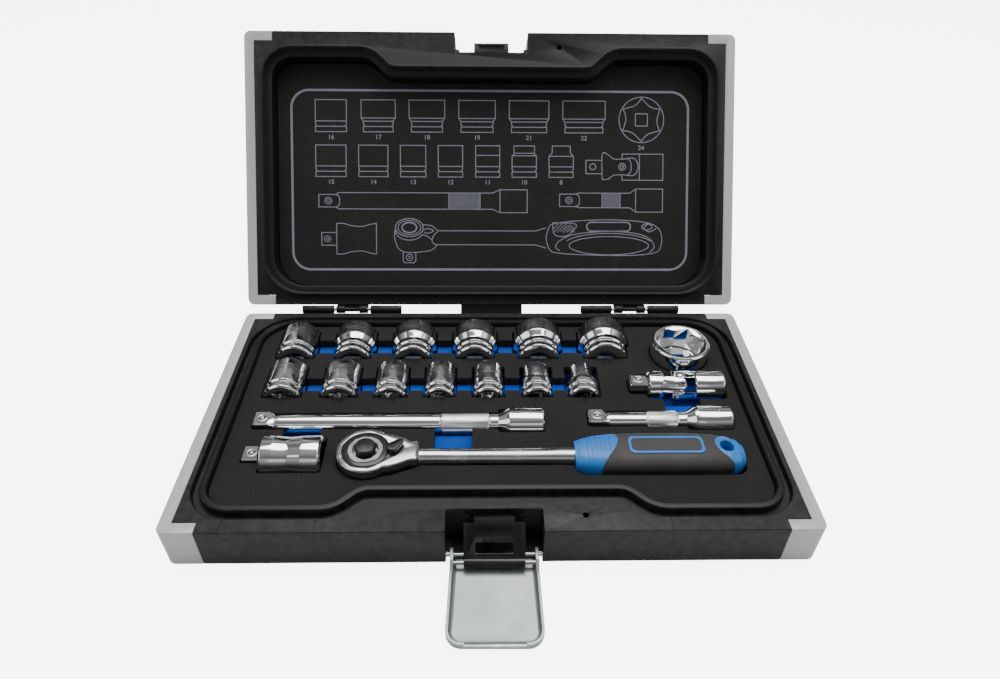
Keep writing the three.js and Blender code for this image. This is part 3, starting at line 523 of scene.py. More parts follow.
def etched_rows(tree):
    """A mask of small etched blocks in two rows along the top of a turned part that lies along Y."""
    where = tree.nodes.new("ShaderNodeTexCoord")
    split = tree.nodes.new("ShaderNodeSeparateXYZ")
    tree.links.new(where.outputs["Object"], split.inputs[0])
    along = split.outputs["Y"]
    rows = math_node(
        tree,
        "ADD",
        math_node(tree, "COMPARE", along, 0.0190),
        math_node(tree, "COMPARE", along, 0.0163),
    )
    for node in tree.nodes:
        if node.type == "MATH" and node.operation == "COMPARE":
            node.inputs[2].default_value = 0.0009
    blocks = tree.nodes.new("ShaderNodeTexNoise")
    blocks.inputs["Scale"].default_value = 2600
    blocks.inputs["Detail"].default_value = 0
    stretch = tree.nodes.new("ShaderNodeMapping")
    stretch.inputs["Scale"].default_value = (1, 0.25, 0)
    tree.links.new(where.outputs["Object"], stretch.inputs["Vector"])
    tree.links.new(stretch.outputs[0], blocks.inputs["Vector"])
    broken = ranged(tree, blocks.outputs[0], 0.46, 0.5)
    width = math_node(tree, "COMPARE", split.outputs["X"], 0.0)
    width.node.inputs[2].default_value = 0.0062
    top = ranged(tree, split.outputs["Z"], 0.002, 0.003)
    return math_node(
        tree, "MULTIPLY", math_node(tree, "MULTIPLY", rows, broken), math_node(tree, "MULTIPLY", width, top)
    )


# ---------------------------------------------------------------- case
def bay_corners():
    """The inner edge of the rim: a rounded tray that steps in behind the latch."""
    x, back, lobe = HALF_W - 16, HALF_D - 12, -HALF_D + 15
    bay = lobe + 11.6
    return [
        [x, back, 18],
        [-x, back, 18],
        [-x, lobe, 13],
        [-75, lobe, 13],
        [-63, bay, 13],
        [63, bay, 13],
        [75, lobe, 13],
        [x, lobe, 13],
    ]


def block(profile):
    """A case half's outer body through [inset, height] pairs."""
    corners = oblong(-HALF_W, HALF_W, -HALF_D, HALF_D, 4)
    return band(corners, [(-g, z) for g, z in profile], 6)


BASE_PROFILE = ((3.0, 0), (1.7, 0.35), (0.9, 1.1), (0.6, 2.4), (0.05, 23.3), (0.15, 23.95), (0.45, 24.2))
LID_PROFILE = ((0.45, 0), (0.15, 0.25), (0.05, 0.9), (0.6, 22.0), (0.9, 23.4), (1.6, 24.5), (3.0, 25))


def trim_zones(side, grow, z0, z1):
    """The three boxes that a silver end trim fills: its side and a leg round each corner."""
    edge = side * (HALF_W + 1)
    strip, leg = side * (HALF_W - 6 - grow), side * (HALF_W - 17 - grow)
    y = HALF_D - 6 - grow
    return [
        brick(edge, strip, -HALF_D - 1, HALF_D + 1, z0, z1),
        brick(edge, leg, y, HALF_D + 1, z0, z1),
        brick(edge, leg, -HALF_D - 1, -y, z0, z1),
    ]


def case_half(profile, z):
    return block([(g, h + z) for g, h in profile])


def end_trim(profile, z, side):
    zones = trim_zones(side, 0, z - 1, z + 26)
    return soften(common(case_half(profile, z), join(*zones)), 0.35, 2, 50)


def side_plate(points, x0, x1, ease=0.25):
    """A plate drawn in Y and Z, from x0 to x1."""
    return put(prism(points, min(x0, x1), max(x0, x1), ease, 5), SIDE_ON)


def knuckle(x, upper):
    """A hinge knuckle: a round eye and the arm that carries it, with a relief in its face."""
    y, z = HINGE.y, HINGE.z
    if upper:
        arm = [[82.4, z + 0.7, 0.2], [y + 0.3, z + 0.7, 0.2], [y - 0.3, z + 4.6, 1.4], [82.4, z + 5.4, 0.2]]
    else:
        arm = [[82.4, z - 6.6, 0.2], [y - 0.8, z - 5.6, 1.2], [y + 0.2, z - 1.2, 0.4], [82.4, z - 1.2, 0.2]]
    eye = rod("x", x - 9.5, x + 9.5, (y, z), 2.4)
    made = join(side_plate(arm, x - 9.4, x + 9.4), eye)
    if upper:
        window = brick(x - 4.4, x + 4.4, 80, 92, z - 4, z + 2.7)
        made = join(cut(made, window), rod("x", x - 5, x + 5, (y, z), 1.35))
    else:
        made = cut(
            made, brick(x - 6, x + 6, y + 0.6, y + 4, z - 0.6, z + 0.6),
            brick(x - 4, x + 4, y - 1.6, y, z - 4.6, z - 2.6),
        )
    return soften(made, 0.2, 2, 50)


def knuckle_places(side, slots):
    return [side * 86 + slot * 20.8 for slot in slots]


class BASE_OT_shell(bpy.types.Operator):
    """The black base: tray, sealing groove and ridge, latch notch and hinge knuckles"""

    bl_idname = "socket_set.base_shell"
    bl_label = "Base shell"

    def execute(self, context):
        zones = trim_zones(-1, 0.25, -1, 26) + trim_zones(1, 0.25, -1, 26)
        tray = [(7.8, 24.8), (7.5, 24.2), (7.1, 23.7), (7.0, 23.2), (7.0, 21.5), (6.8, 21.2)]
        tray += [(3.2, 21.2), (0, 21.2), (0, 2.5), (-0.5, 2.0)]
        ridge = [
            (0, 20.6), (0, 24.9), (0.2, 25.4), (0.7, 25.8), (2.7, 25.8), (3.3, 25.5), (3.6, 24.9), (3.6, 20.6)
        ]
        shell = cut(case_half(BASE_PROFILE, 0), band(bay_corners(), tray, 8), *zones)
        shell = join(shell, band(bay_corners(), ridge, 8, True))
        ply = pivot("latch_lever_hinge")
        shell = cut(
            shell,
            brick(-22.3, 22.3, -84, -70, 2, 27),
            brick(-22.3, 22.3, -84, ply.y + 4.6, -1, 24),
            rod("z", 18, 27, (41.5, -74), 1.5),
            *[brick(x - 0.14, x + 0.14, -83.2, -75.6, 23.8, 25) for x in (-122, -80, 80)],
            *[brick(x - 0.14, x + 0.14, -84, -82.75, 2, 25) for x in (-122, -80, 80)],
        )
        ribs = [
            brick(s * 22.5, s * 20.7, -70.4, -68.5, 4, 23.9) for s in (-1, 1)
        ] + [brick(s * 13.2, s * 11.8, -71.2, -68.5, 3, 20.5) for s in (-1, 1)]
        shell = soften(join(shell, *ribs), 0.3, 2, 55)
        fit("Base_Shell", shell, "black moulding", "base", ["base_shell"])
        for side, label in ((-1, "Left"), (1, "Right")):
            for i, x in enumerate(knuckle_places(side, (-1, 1))):
                fit(f"Base_Knuckle_{label}_{i + 1}", knuckle(x, False), "black moulding", "base")
        return {"FINISHED"}


class BASE_OT_trims(bpy.types.Operator):
    """The silver end trims of the base and of the lid, wrapped round the corners"""

    bl_idname = "socket_set.end_trims"
    bl_label = "End trims"

    def execute(self, context):
        for side, label in ((-1, "left"), (1, "right")):
            fit(
                f"Base_Trim_{label}", end_trim(BASE_PROFILE, 0, side), "silver paint", "base",
                [f"base_trim_{label}"],
            )
            lid = put(end_trim(LID_PROFILE, LID_RIM, side), LID_SWING)
            fit(f"Lid_Trim_{label}", lid, "silver paint", "lid", [f"lid_trim_{label}"])
        return {"FINISHED"}


class LID_OT_shell(bpy.types.Operator):
    """The black lid: tray, sealing tongue, latch notch with its catch, stop and hinge knuckles"""

    bl_idname = "socket_set.lid_shell"
    bl_label = "Lid shell"

    def execute(self, context):
        rim, top = LID_RIM, LID_TOP
        zones = trim_zones(-1, 0.25, rim - 1, top + 1) + trim_zones(1, 0.25, rim - 1, top + 1)
        tray = [(4.9, rim - 0.6), (4.5, rim), (4.2, rim + 0.4), (4.2, rim + 1.8), (4.0, rim + 2.0)]
        tray += [(0.6, rim + 2.0), (0.15, rim + 2.3), (0, rim + 2.9), (0, top - 2)]
        tongue = [(4.45, rim + 0.8), (4.45, rim - 1.4), (4.65, rim - 1.8), (4.95, rim - 2.0)]
        tongue += [(5.65, rim - 2.0), (5.95, rim - 1.8), (6.15, rim - 1.4), (6.15, rim + 0.8)]
        shell = cut(case_half(LID_PROFILE, rim), band(bay_corners(), tray, 8), *zones)
        shell = join(shell, band(bay_corners(), tongue, 8, True))
        shell = cut(
            shell,
            brick(-22.3, 22.3, -84, -70, rim - 4, top + 1),
            rod("z", rim - 1, rim + 6, (41.5, -74), 1.5),
            *[brick(x - 0.14, x + 0.14, -84, -75.6, rim - 1, rim + 0.4) for x in (-122, -80, 120)],
        )
        catch = [[-71, rim + 0.1, 0.2], [-69, rim + 0.1, 0.1], [-69, rim + 6, 0.1], [-71, rim + 6, 0.4]]
        catch = side_plate(catch, -21, 21)
        hook = brick(-10.6, 10.6, -76.3, -69, rim, rim + 3)
        hook = cut(hook, brick(-7.5, 7.5, -75.2, -72.2, rim - 1, rim + 0.8))
        posts = [brick(s * 22.4, s * 19.6, -72.6, -69, rim + 0.1, rim + 8) for s in (-1, 1)]
        stop = [[82, 25.3, 0.1], [89.2, 25.3, 0.6], [89.6, 27.6, 0.6], [82, 28.0, 0.1]]
        shell = soften(join(shell, catch, hook, *posts, side_plate(stop, -19, 19)), 0.3, 2, 55)
        fit("Lid_Shell", put(shell, LID_SWING), "black moulding", "lid", ["lid_shell"])
        for side, label in ((-1, "Left"), (1, "Right")):
            x = knuckle_places(side, (0,))[0]
            fit(f"Lid_Knuckle_{label}", put(knuckle(x, True), LID_SWING), "black moulding", "lid")
        return {"FINISHED"}


class CASE_OT_pins(bpy.types.Operator):
    """The steel pins of the hinges and of the latch"""

    bl_idname = "socket_set.pins"
    bl_label = "Pins"

    def execute(self, context):
        for node, rides in (
            ("hinge_pin_left", "base"),
            ("hinge_pin_right", "base"),
            ("latch_base_pin", "base"),
            ("latch_link_pin", "latch_lever"),
        ):
            low, high = span(node)
            middle = (low + high) / 2
            r = (high.y - low.y) / 2
            profile = [(r - 0.25, low.x), (r, low.x + 0.25), (r, high.x - 0.25), (r - 0.25, high.x)]
            pin = put(lathe(profile, 24), ALONG_X, shift(0, middle.y, middle.z))
            fit(f"Pin_{node}", pin, "pin steel", rides, [node])
        return {"FINISHED"}


# ---------------------------------------------------------------- latch
def lever_frame():
    j = joint("latch_lever_hinge")
    turn = math.radians(-j["range_deg"][0])
    return Matrix.Translation(pivot("latch_lever_hinge")) @ Matrix.Rotation(turn, 4, "X")


class LATCH_OT_lever(bpy.types.Operator):
    """The pressed latch lever: a shallow tray with rolled sides, a stepped end lip and two ears"""

    bl_idname = "socket_set.latch_lever"
    bl_label = "Latch lever"

    def execute(self, context):
        half, length, face = 21.1, 44.6, -2.7
        corners = [[1 - half, -2.4, 0.6], [half - 1, -2.4, 0.6], [half, length, 7], [-half, length, 7]]
        outer = [(-1.0, 0), (-0.45, 0.2), (-0.1, 0.6), (0, 1.1), (0, 3.95), (-0.1, 4.15), (-0.3, 4.2)]
        inner = [
            (-3.2, 1.2), (-2.3, 1.35), (-1.7, 1.75), (-1.35, 2.4), (-1.2, 3.2), (-1.2, 4.05), (-1.0, 4.6)
        ]
        pan = cut(
            band(corners, outer, 8), band(corners, inner, 8), brick(2 - half, half - 2, -4, 2.2, 1.2, 6)
        )
        pan = cut(pan, brick(-13, 13, length - 2.2, length + 1, 2.9, 6))
        upright = Matrix(((1, 0, 0, 0), (0, 0, 1, face), (0, 1, 0, 0), (0, 0, 0, 1)))
        put(pan, upright)
        ears = []
        for s in (-1, 1):
            ear = [[face, -2.2, 0.5], [3.6, -2.6, 2.6], [3.7, 4.6, 2.8], [1.5, 9.8, 1.0], [face, 10.2, 0.2]]
            ears.append(side_plate(ear, s * (half - 0.75), s * (half - 2.4), 0.2))
        lever = soften(join(pan, *ears), 0.2, 2, 55)
        fit("Latch_Lever", put(lever, lever_frame()), "lever paint", "latch_lever", ["latch_lever"])
        return {"FINISHED"}


class LATCH_OT_link(bpy.types.Operator):
    """The black latch link: an H-shaped frame with a window and a rounded hook bar"""

    bl_idname = "socket_set.latch_link"
    bl_label = "Latch link"

    def execute(self, context):
        # drawn standing: X across, Y through the thickness, Z along the link
        plate = cut(brick(-14, 14, -1.5, 1.5, -1, 21), brick(-8.6, 8.6, -3, 3, 3.4, 9.6))
        plate = cut(
            plate,
            brick(-8.2, 8.2, -3, -0.7, 11.6, 16.4),
            brick(-8.2, 8.2, 0.8, 3, 11.6, 16.4),
            brick(9.2, 15, -3, 3, 18.2, 22),
            brick(-9.2, -15, -3, 3, 18.2, 22),
        )
        hook = [[0, 17.6, 0.3], [3.7, 17.6, 0.9], [3.7, 21, 1.3], [0, 21, 0.3]]
        eye = rod("x", -13.9, 13.9, (0, 0), 2.5)
        body = soften(join(plate, eye, side_plate(hook, -8.6, 8.6, 0.3)), 0.4, 3, 50)
        turn = Matrix.Rotation(math.radians(53.5 - 90), 4, "X")
        put(body, turn, Matrix.Translation(pivot("latch_link_hinge")))
        fit("Latch_Link", body, "gloss black", "latch_link", ["latch_link"])
        return {"FINISHED"}


# ---------------------------------------------------------------- foam
ROW_1 = (16, 17, 18, 19, 21, 22)
ROW_2 = (15, 14, 13, 12, 11, 10, 8)
DRIVE = 9.5
SOCKET_L = 24.5
HEX_R = {16: 11, 17: 12.2, 18: 12.9, 19: 13.2, 21: 14.3, 22: 14.8, 24: 16.4}
HEX_R.update({15: 10.6, 14: 10.2, 13: 9.2, 12: 8.7, 11: 8.4, 10: 7.8, 8: 6.7})
DRIVE_R = {16: 11, 17: 10.6, 18: 11, 19: 11.2, 21: 12, 22: 12.8, 24: 13.2}
DRIVE_R.update({15: 10.6, 14: 10.2, 13: 9.2, 12: 8.7, 11: 8.8, 10: 8.8, 8: 9})


def socket_foot(size):
    """The centre of a lying socket's drive end."""
    low, high = span(f"socket_{size}mm")
    return Vector(((low.x + high.x) / 2, low.y, (low.z + high.z) / 2))


def tool_axis(node):
    """A lying tool's start and end along X, and its axis height and place across."""
    low, high = span(node)
    return low.x, high.x, (low.y + high.y) / 2, (low.z + high.z) / 2


def pocket_cutters():
    """One cutter for every tool's pocket, a little larger than the tool."""
    up, fit_by = 30, 0.5
    tools = []
    for size in ROW_1 + ROW_2:
        foot = socket_foot(size)
        a, b = DRIVE_R[size] + fit_by, HEX_R[size] + fit_by
        x, y = foot.x, foot.y
        z = foot.z - max(a, b)
        plan = [[x - a, y - fit_by, 1], [x + a, y - fit_by, 1]]
        if b > a:
            plan += [[x + a, y + 8.6, 0.6], [x + b, y + 11.6, 0.6]]
        plan += [[x + max(a, b), y + SOCKET_L + fit_by, 1], [x - max(a, b), y + SOCKET_L + fit_by, 1]]
        if b > a:
            plan += [[x - b, y + 11.6, 0.6], [x - a, y + 8.6, 0.6]]
        tools.append(prism(plan, z, up, 0))
    low, high = span("socket_24mm")
    middle = (low + high) / 2
    tools.append(rod("z", low.z - fit_by, up, (middle.x, middle.y), (high.x - low.x) / 2 + fit_by, 64))
    for bar in ("long_extension", "short_extension"):
        x0, x1, y, z = tool_axis(bar)
        tools.append(prism(oblong(x0 - fit_by, x1, y - 6.1, y + 6.1, 2), z - 6.1, up, 0))
        tools.append(prism(oblong(x1 - 24, x1 + fit_by, y - 8.8, y + 8.8, 2), z - 8.8, up, 0))
    low, _ = span("ujoint_male_yoke")
    _, high = span("ujoint_female_yoke")
    x0, x1 = low.x, high.x
    y, z = pivot("ujoint_cross_hinge").yz
    tools.append(prism(oblong(x0 - fit_by, x0 + 11.5, y - 6, y + 6, 1.5), z - 6, up, 0))
    tools.append(prism(oblong(x0 + 9, x1 + 1.6, y - 10.4, y + 10.4, 3), z - 9.6, up, 0))
    x0, x1, y, z = tool_axis("adaptor")
    tools.append(prism(oblong(x0 - fit_by, x0 + 11.5, y - 5.4, y + 5.4, 1), z - 5.4, up, 0))
    tools.append(prism(oblong(x0 + 9, x1 + fit_by, y - 12, y + 12, 1.5), z - 12, up, 0))
    head = pivot("drive_spin")
    grip = span("handle_front_cap")[0].x
    end = span("handle_end_cap")[1].x
    tools.append(rod("z", 15.5, up, (head.x, head.y), 14.9, 48))
    tools.append(rod("z", 4.9, up, (head.x, head.y), 8.4, 32))
    pear = [[0, -14.4, 1], [13.6, -11.6, 4], [27, -5.9, 4], [27, 5.9, 4], [13.6, 11.6, 4], [0, 14.4, 1]]
    tools.append(prism([[head.x + a, head.y + b, r] for a, b, r in pear], 15.5, up, 0))
    tools.append(brick(head.x + 26, grip + 1, head.y - 5.7, head.y + 5.7, head.z - 5.7, up))
    tools.append(prism(oblong(grip - 0.5, end + 0.5, head.y - 12.5, head.y + 12.5, 6), 12, up, 0))
    return tools


def channel_cutters():
    """The strips between sockets and the finger pockets, cut down to the blue layer."""
    low, up = LAYER - 0.05, 30
    row_1, row_2 = socket_foot(16).y, socket_foot(15).y
    return [
        prism(oblong(-105, 56, row_1 + 4.6, row_1 + 16.6, 0.8), low, up, 0),
        prism(oblong(-105, 44, row_2 + 5, row_2 + 15.4, 0.8), low, up, 0),
        prism(oblong(-107, -88, -26, -10, 1), low, up, 0),
        prism(oblong(-30, -10.6, -30.6, -10, 1), low, up, 0),
        prism(oblong(92, 112, -10, 12, 1), low, up, 0),
    ]


def lettering(text, size, thick=0.08):
    """Plain numerals as a thin solid, centred on the origin and lying in XY."""
    curve = bpy.data.curves.new("numerals", "FONT")
    curve.body = text
    curve.size = size
    curve.extrude = thick / 2
    curve.offset = 0.012 * size
    curve.align_x = "CENTER"
    curve.align_y = "CENTER"
    curve.resolution_u = 4
    holder = bpy.data.objects.new("numerals", curve)
    bpy.context.scene.collection.objects.link(holder)
    bpy.context.view_layer.update()
    mesh = bpy.data.meshes.new_from_object(holder.evaluated_get(bpy.context.evaluated_depsgraph_get()))
    bpy.data.objects.remove(holder)
    bpy.data.curves.remove(curve)
    obj = bpy.data.objects.new("blank", mesh)
    bpy.context.scene.collection.objects.link(obj)
    return obj


def gather(parts):
    """Several loose solids as one object."""
    bm = bmesh.new()
    for part in parts:
        bm.from_mesh(part.data)
        bpy.data.meshes.remove(part.data)
    mesh = bpy.data.meshes.new("blank")
    bm.to_mesh(mesh)
    bm.free()
    obj = bpy.data.objects.new("blank", mesh)
    bpy.context.scene.collection.objects.link(obj)
    return obj


class FOAM_OT_insert(bpy.types.Operator):
    """The two-layer foam insert: dark on top, blue below, with the tools' pockets and the strips"""

    bl_idname = "socket_set.foam_insert"
    bl_label = "Foam insert"

    def execute(self, context):
        top = [(-0.3, LAYER + 0.3), (-0.3, FOAM_TOP - 0.3), (-0.6, FOAM_TOP)]
        dark = cut(band(bay_corners(), top, 8), *pocket_cutters(), *channel_cutters())
        dark = fit(
            "Foam_Dark_Layer", dark, "dark foam", "base",
            ["foam_top_back", "foam_top_middle", "foam_top_front"],
        )
        low = [(-0.3, 2.3), (-0.3, LAYER)]
        blue = cut(band(bay_corners(), low, 8), *pocket_cutters())
        blue = fit("Foam_Blue_Layer", blue, "blue foam", "base", ["foam_insert_blue"])
        return {"FINISHED"}


class FOAM_OT_numbers(bpy.types.Operator):
    """The size numbers pressed into the foam in front of each socket"""

    bl_idname = "socket_set.foam_numbers"
    bl_label = "Foam size numbers"

    def execute(self, context):
        size = context.scene.socket_set_sizes.foam_number
        marks = []
        for n in ROW_1 + ROW_2:
            foot = socket_foot(n)
            marks.append(put(lettering(str(n), size), shift(foot.x, foot.y - 3.6, FOAM_TOP + 0.03)))
        middle = sum(span("socket_24mm"), Vector()) / 2
        marks.append(put(lettering("24", size), shift(middle.x, middle.y - 20, FOAM_TOP + 0.03)))
        fit("Foam_Size_Numbers", gather(marks), "size ink", "base")
        return {"FINISHED"}


class FOAM_OT_lid_pad(bpy.types.Operator):
    """The foam pad in the lid"""

    bl_idname = "socket_set.lid_pad"
    bl_label = "Lid pad"

    def execute(self, context):
        layer = [(-0.6, LID_FOAM_FACE), (-0.3, LID_FOAM_FACE + 0.4), (-0.3, LID_TOP - 2.3)]
        pad = put(band(bay_corners(), layer, 8), LID_SWING)
        fit("Lid_Pad", pad, "dark foam", "lid", ["lid_foam"])
        return {"FINISHED"}


# ---------------------------------------------------------------- lid print
def stroke(points, width=0.55, closed=False, thick=0.1):
    """A printed line of an even width through points in the plane, as a thin solid strip."""
    pts = [Vector(p[:2]) for p in points]
    if closed and (pts[0] - pts[-1]).length < 1e-6:
        pts.pop()
    n = len(pts)
    left, right = [], []
    for i, p in enumerate(pts):
        a = pts[i - 1] if closed or i else p
        b = pts[(i + 1) % n] if closed or i < n - 1 else p
        din = (p - a).normalized() if a is not p else (b - p).normalized()
        dout = (b - p).normalized() if b is not p else din
        normal = Vector((-din.y - dout.y, din.x + dout.x))
        normal = normal.normalized() if normal.length > 1e-6 else Vector((-din.y, din.x))
        reach = width / 2 / max(0.35, normal.dot(Vector((-din.y, din.x))))
        left.append(p + normal * reach)
        right.append(p - normal * reach)
    loops = [
        [(*right[i], 0), (*left[i], 0), (*left[i], thick), (*right[i], thick)] for i in range(n)
    ]
    return stack(loops, closed)


def ellipse(x, y, a, b, first=0, last=360, steps=40):
    turns = [math.radians(first + (last - first) * k / steps) for k in range(steps + 1)]
    return [(x + a * math.cos(t), y + b * math.sin(t)) for t in turns]


def between(p0, p1, p2, p3, t):
    """The point a share t of the way from p1 to p2, on the smooth curve that p0 and p3 steer."""
    bend = (2 * p0 - 5 * p1 + 4 * p2 - p3) * t**2
    twist = (3 * p1 - p0 - 3 * p2 + p3) * t**3
    return tuple(0.5 * (2 * p1 + (p2 - p0) * t + bend + twist))


def smooth_line(points, steps=6):
    """A smooth line through points."""
    out = []
    n = len(points)
    for i in range(n - 1):
        p0, p1, p2, p3 = (Vector(points[min(max(i + k, 0), n - 1)]) for k in (-1, 0, 1, 2))
        for k in range(steps):
            out.append(between(p0, p1, p2, p3, k / steps))
    return [*out, tuple(points[-1])]


def mirrored(points, x):
    return [(2 * x - a, b) for a, b in points]


def socket_drawing(x0, x1, s0, s1, kind):
    """A socket's side view: a plain, flared or stepped body over its drive band."""
    m, lines = (x0 + x1) / 2, []
    w = (x1 - x0) / 2
    d = w - 1.4 if kind == "flared" else w
    side = [(m + d, s0), (m + d, s0 + 3.2), (m + d - 0.7, s0 + 4.0), (m + d, s0 + 4.9), (m + d, s0 + 6.6)]
    lines += [[(m - d, s0 + h), (m + d, s0 + h)] for h in (3.3, 6.6)]
    top = w
    if kind == "flared":
        side += [(m + w, s0 + 8.6)]
        lines.append([(m - w, s0 + 8.6), (m + w, s0 + 8.6)])
    elif kind == "stepped":
        lines.append([(m - w, s0 + 13.6), (m + w, s0 + 13.6)])
    elif kind == "narrow":
        top = w - 1.2
        side += [(m + w, s0 + 13.4), (m + top, s0 + 14.2)]
        lines += [[(m - w, s0 + 13.4), (m + w, s0 + 13.4)], [(m - top, s0 + 15), (m + top, s0 + 15)]]
    elif kind == "small":
        top = w - 2
        side += [(m + w, s0 + 13.2), (m + top, s0 + 15.4)]
        lines.append([(m - w, s0 + 13.2), (m + w, s0 + 13.2)])
    side += [(m + top, s1)]
    return lines, side + mirrored(side, m)[::-1]


def bar_drawing(x0, neck, knurl, cone, head, x1, s, half, head_half):
    """A bar's side view: square, shank, knurled band, cone and head."""
    made = [
        stroke([(neck - 2, s - 3.9), (x0, s - 3.9), (x0, s + 3.9), (neck - 2, s + 3.9)]),
        stroke(ellipse(x0 + 6, s, 2.1, 2.1), 0.5, True),
        stroke(ellipse(x0 + 6, s, 0.9, 0.9, steps=16), 0.4, True),
        stroke(
            smooth_line(
                [(neck - 2, s - 3.9), (neck + 0.2, s - 2.4), (neck + 0.2, s + 2.4), (neck - 2, s + 3.9)]
            )
        ),
        stroke(
            [(head, s - head_half), (x1, s - head_half), (x1, s + head_half), (head, s + head_half)],
            closed=True,
        ),
    ]
    for sign in (-1, 1):
        line = [
            (neck - 2, s + sign * 3.9), (neck, s + sign * half), (cone, s + sign * half),
            (head, s + sign * head_half),
        ]
        made.append(stroke(line))
    a, b = knurl
    made += [stroke([(x, s - half), (x, s + half)]) for x in (a, b)]
    count = round((b - a) / 1.35)
    step, rise = (b - a) / count, 2 * half
    for k in range(-8, count + 8):
        for sign in (-1, 1):
            p, q = Vector((a + k * step, s - sign * half)), Vector((a + k * step + rise, s + sign * half))
            lo, hi = max(0, (a - p.x) / rise), min(1, (b - p.x) / rise)
            if hi - lo > 0.02:
                made.append(stroke([p.lerp(q, lo), p.lerp(q, hi)], 0.3))
    return made


def ratchet_drawing():
    """The ratchet's three-quarter view: head, drive square, shank and moulded handle."""
    made = [
        stroke(ellipse(-51.8, 48.8, a, b), w, True)
        for a, b, w in ((8.8, 5.7, 0.6), (7.2, 4.5, 0.5), (4.6, 3.2, 0.9))
    ]
    made.append(stroke(ellipse(-51.8, 46.6, 8.8, 5.7, 180, 340)))
    made += [stroke(line) for line in (
        smooth_line(
            [(-60.4, 49.4), (-61.2, 43), (-59, 36), (-54.6, 33.4), (-47, 33.2), (-38, 34.6), (-34.6, 37.8)]
        ),
        smooth_line(
            [(-43.2, 50.6), (-38, 50), (-34.8, 47.6), (-33.8, 46.4), (-36.4, 44), (-37.4, 40), (-34.6, 37.6)]
        ),
        smooth_line([(-42.8, 47.4), (-40, 48.2), (-36.6, 46.6), (-40.6, 45.2), (-42.8, 46)]),
        smooth_line([(-44.4, 44.2), (-41, 43.6), (-37.4, 41)]),
        [(-34, 46.8), (28, 46.8), (35, 48.8)],
        [(-35.2, 38), (28, 38), (35, 36)],
        smooth_line([(37.4, 50.6), (35.6, 46), (35, 42), (36.4, 36.4), (39, 33.4)]),
        smooth_line(
            [
                (37.4, 50.6), (44, 52.2), (60, 53.6), (76, 54), (92, 53.2), (102, 51.4), (107.4, 47.4),
                (108.8, 41), (107, 34.6), (102, 32.6),
            ]
        ),
        smooth_line([(39, 33.4), (50, 32.2), (75, 31.4), (92, 31.6), (102, 32.6)]),
        smooth_line(
            [
                (43.4, 34.4), (41, 37), (44, 41), (54, 45), (75, 46.6), (92, 45.4), (101, 42), (104, 37),
                (101, 33.4),
            ]
        ),
        smooth_line([(105.2, 48.6), (100.8, 46.4), (97.4, 48.6), (99.6, 51.2)]),
    )]
    made.append(stroke(ellipse(75, 37.6, 25.4, 5.8, steps=64), 0.55, True))
    made.append(stroke(ellipse(74.8, 38, 28.6, 7.4, 20, 160, 48)))
    made.append(stroke(outline(oblong(60.8, 88.6, 46.8, 52.4, 2.6)), 0.8, True))
    made.append(stroke(ellipse(99.2, 49.6, 3.2, 1.9, steps=28), 0.6, True))
    square = [(-55.8, 33.4), (-55.8, 27.8), (-54.6, 26.6), (-49, 26.6), (-47.8, 27.8), (-47.8, 33.2)]
    made += [
        stroke(square), stroke(ellipse(-51.8, 30, 2.1, 2.1, steps=24), 0.5, True),
        stroke(ellipse(-51.8, 30, 0.8, 0.8, steps=12), 0.4, True),
    ]
    for k in range(44):
        u, v = (k * 0.381966) % 1, (k + 0.5) / 44
        x, s = 39.4 + 13.6 * v, 49.6 - 0.12 * (39.4 + 13.6 * v - 46) + (u - 0.5) * 7.4 * (1 - 0.5 * v)
        made.append(stroke(ellipse(x, s - 0.8, 0.3, 0.3, steps=6), 0.3, True))
    made.append(
        stroke(
            smooth_line([(38.8, 52), (52, 51.6), (54, 49.6), (50, 45), (46, 43.4), (40.4, 44.6), (38.8, 52)])
        )
    )
    return made


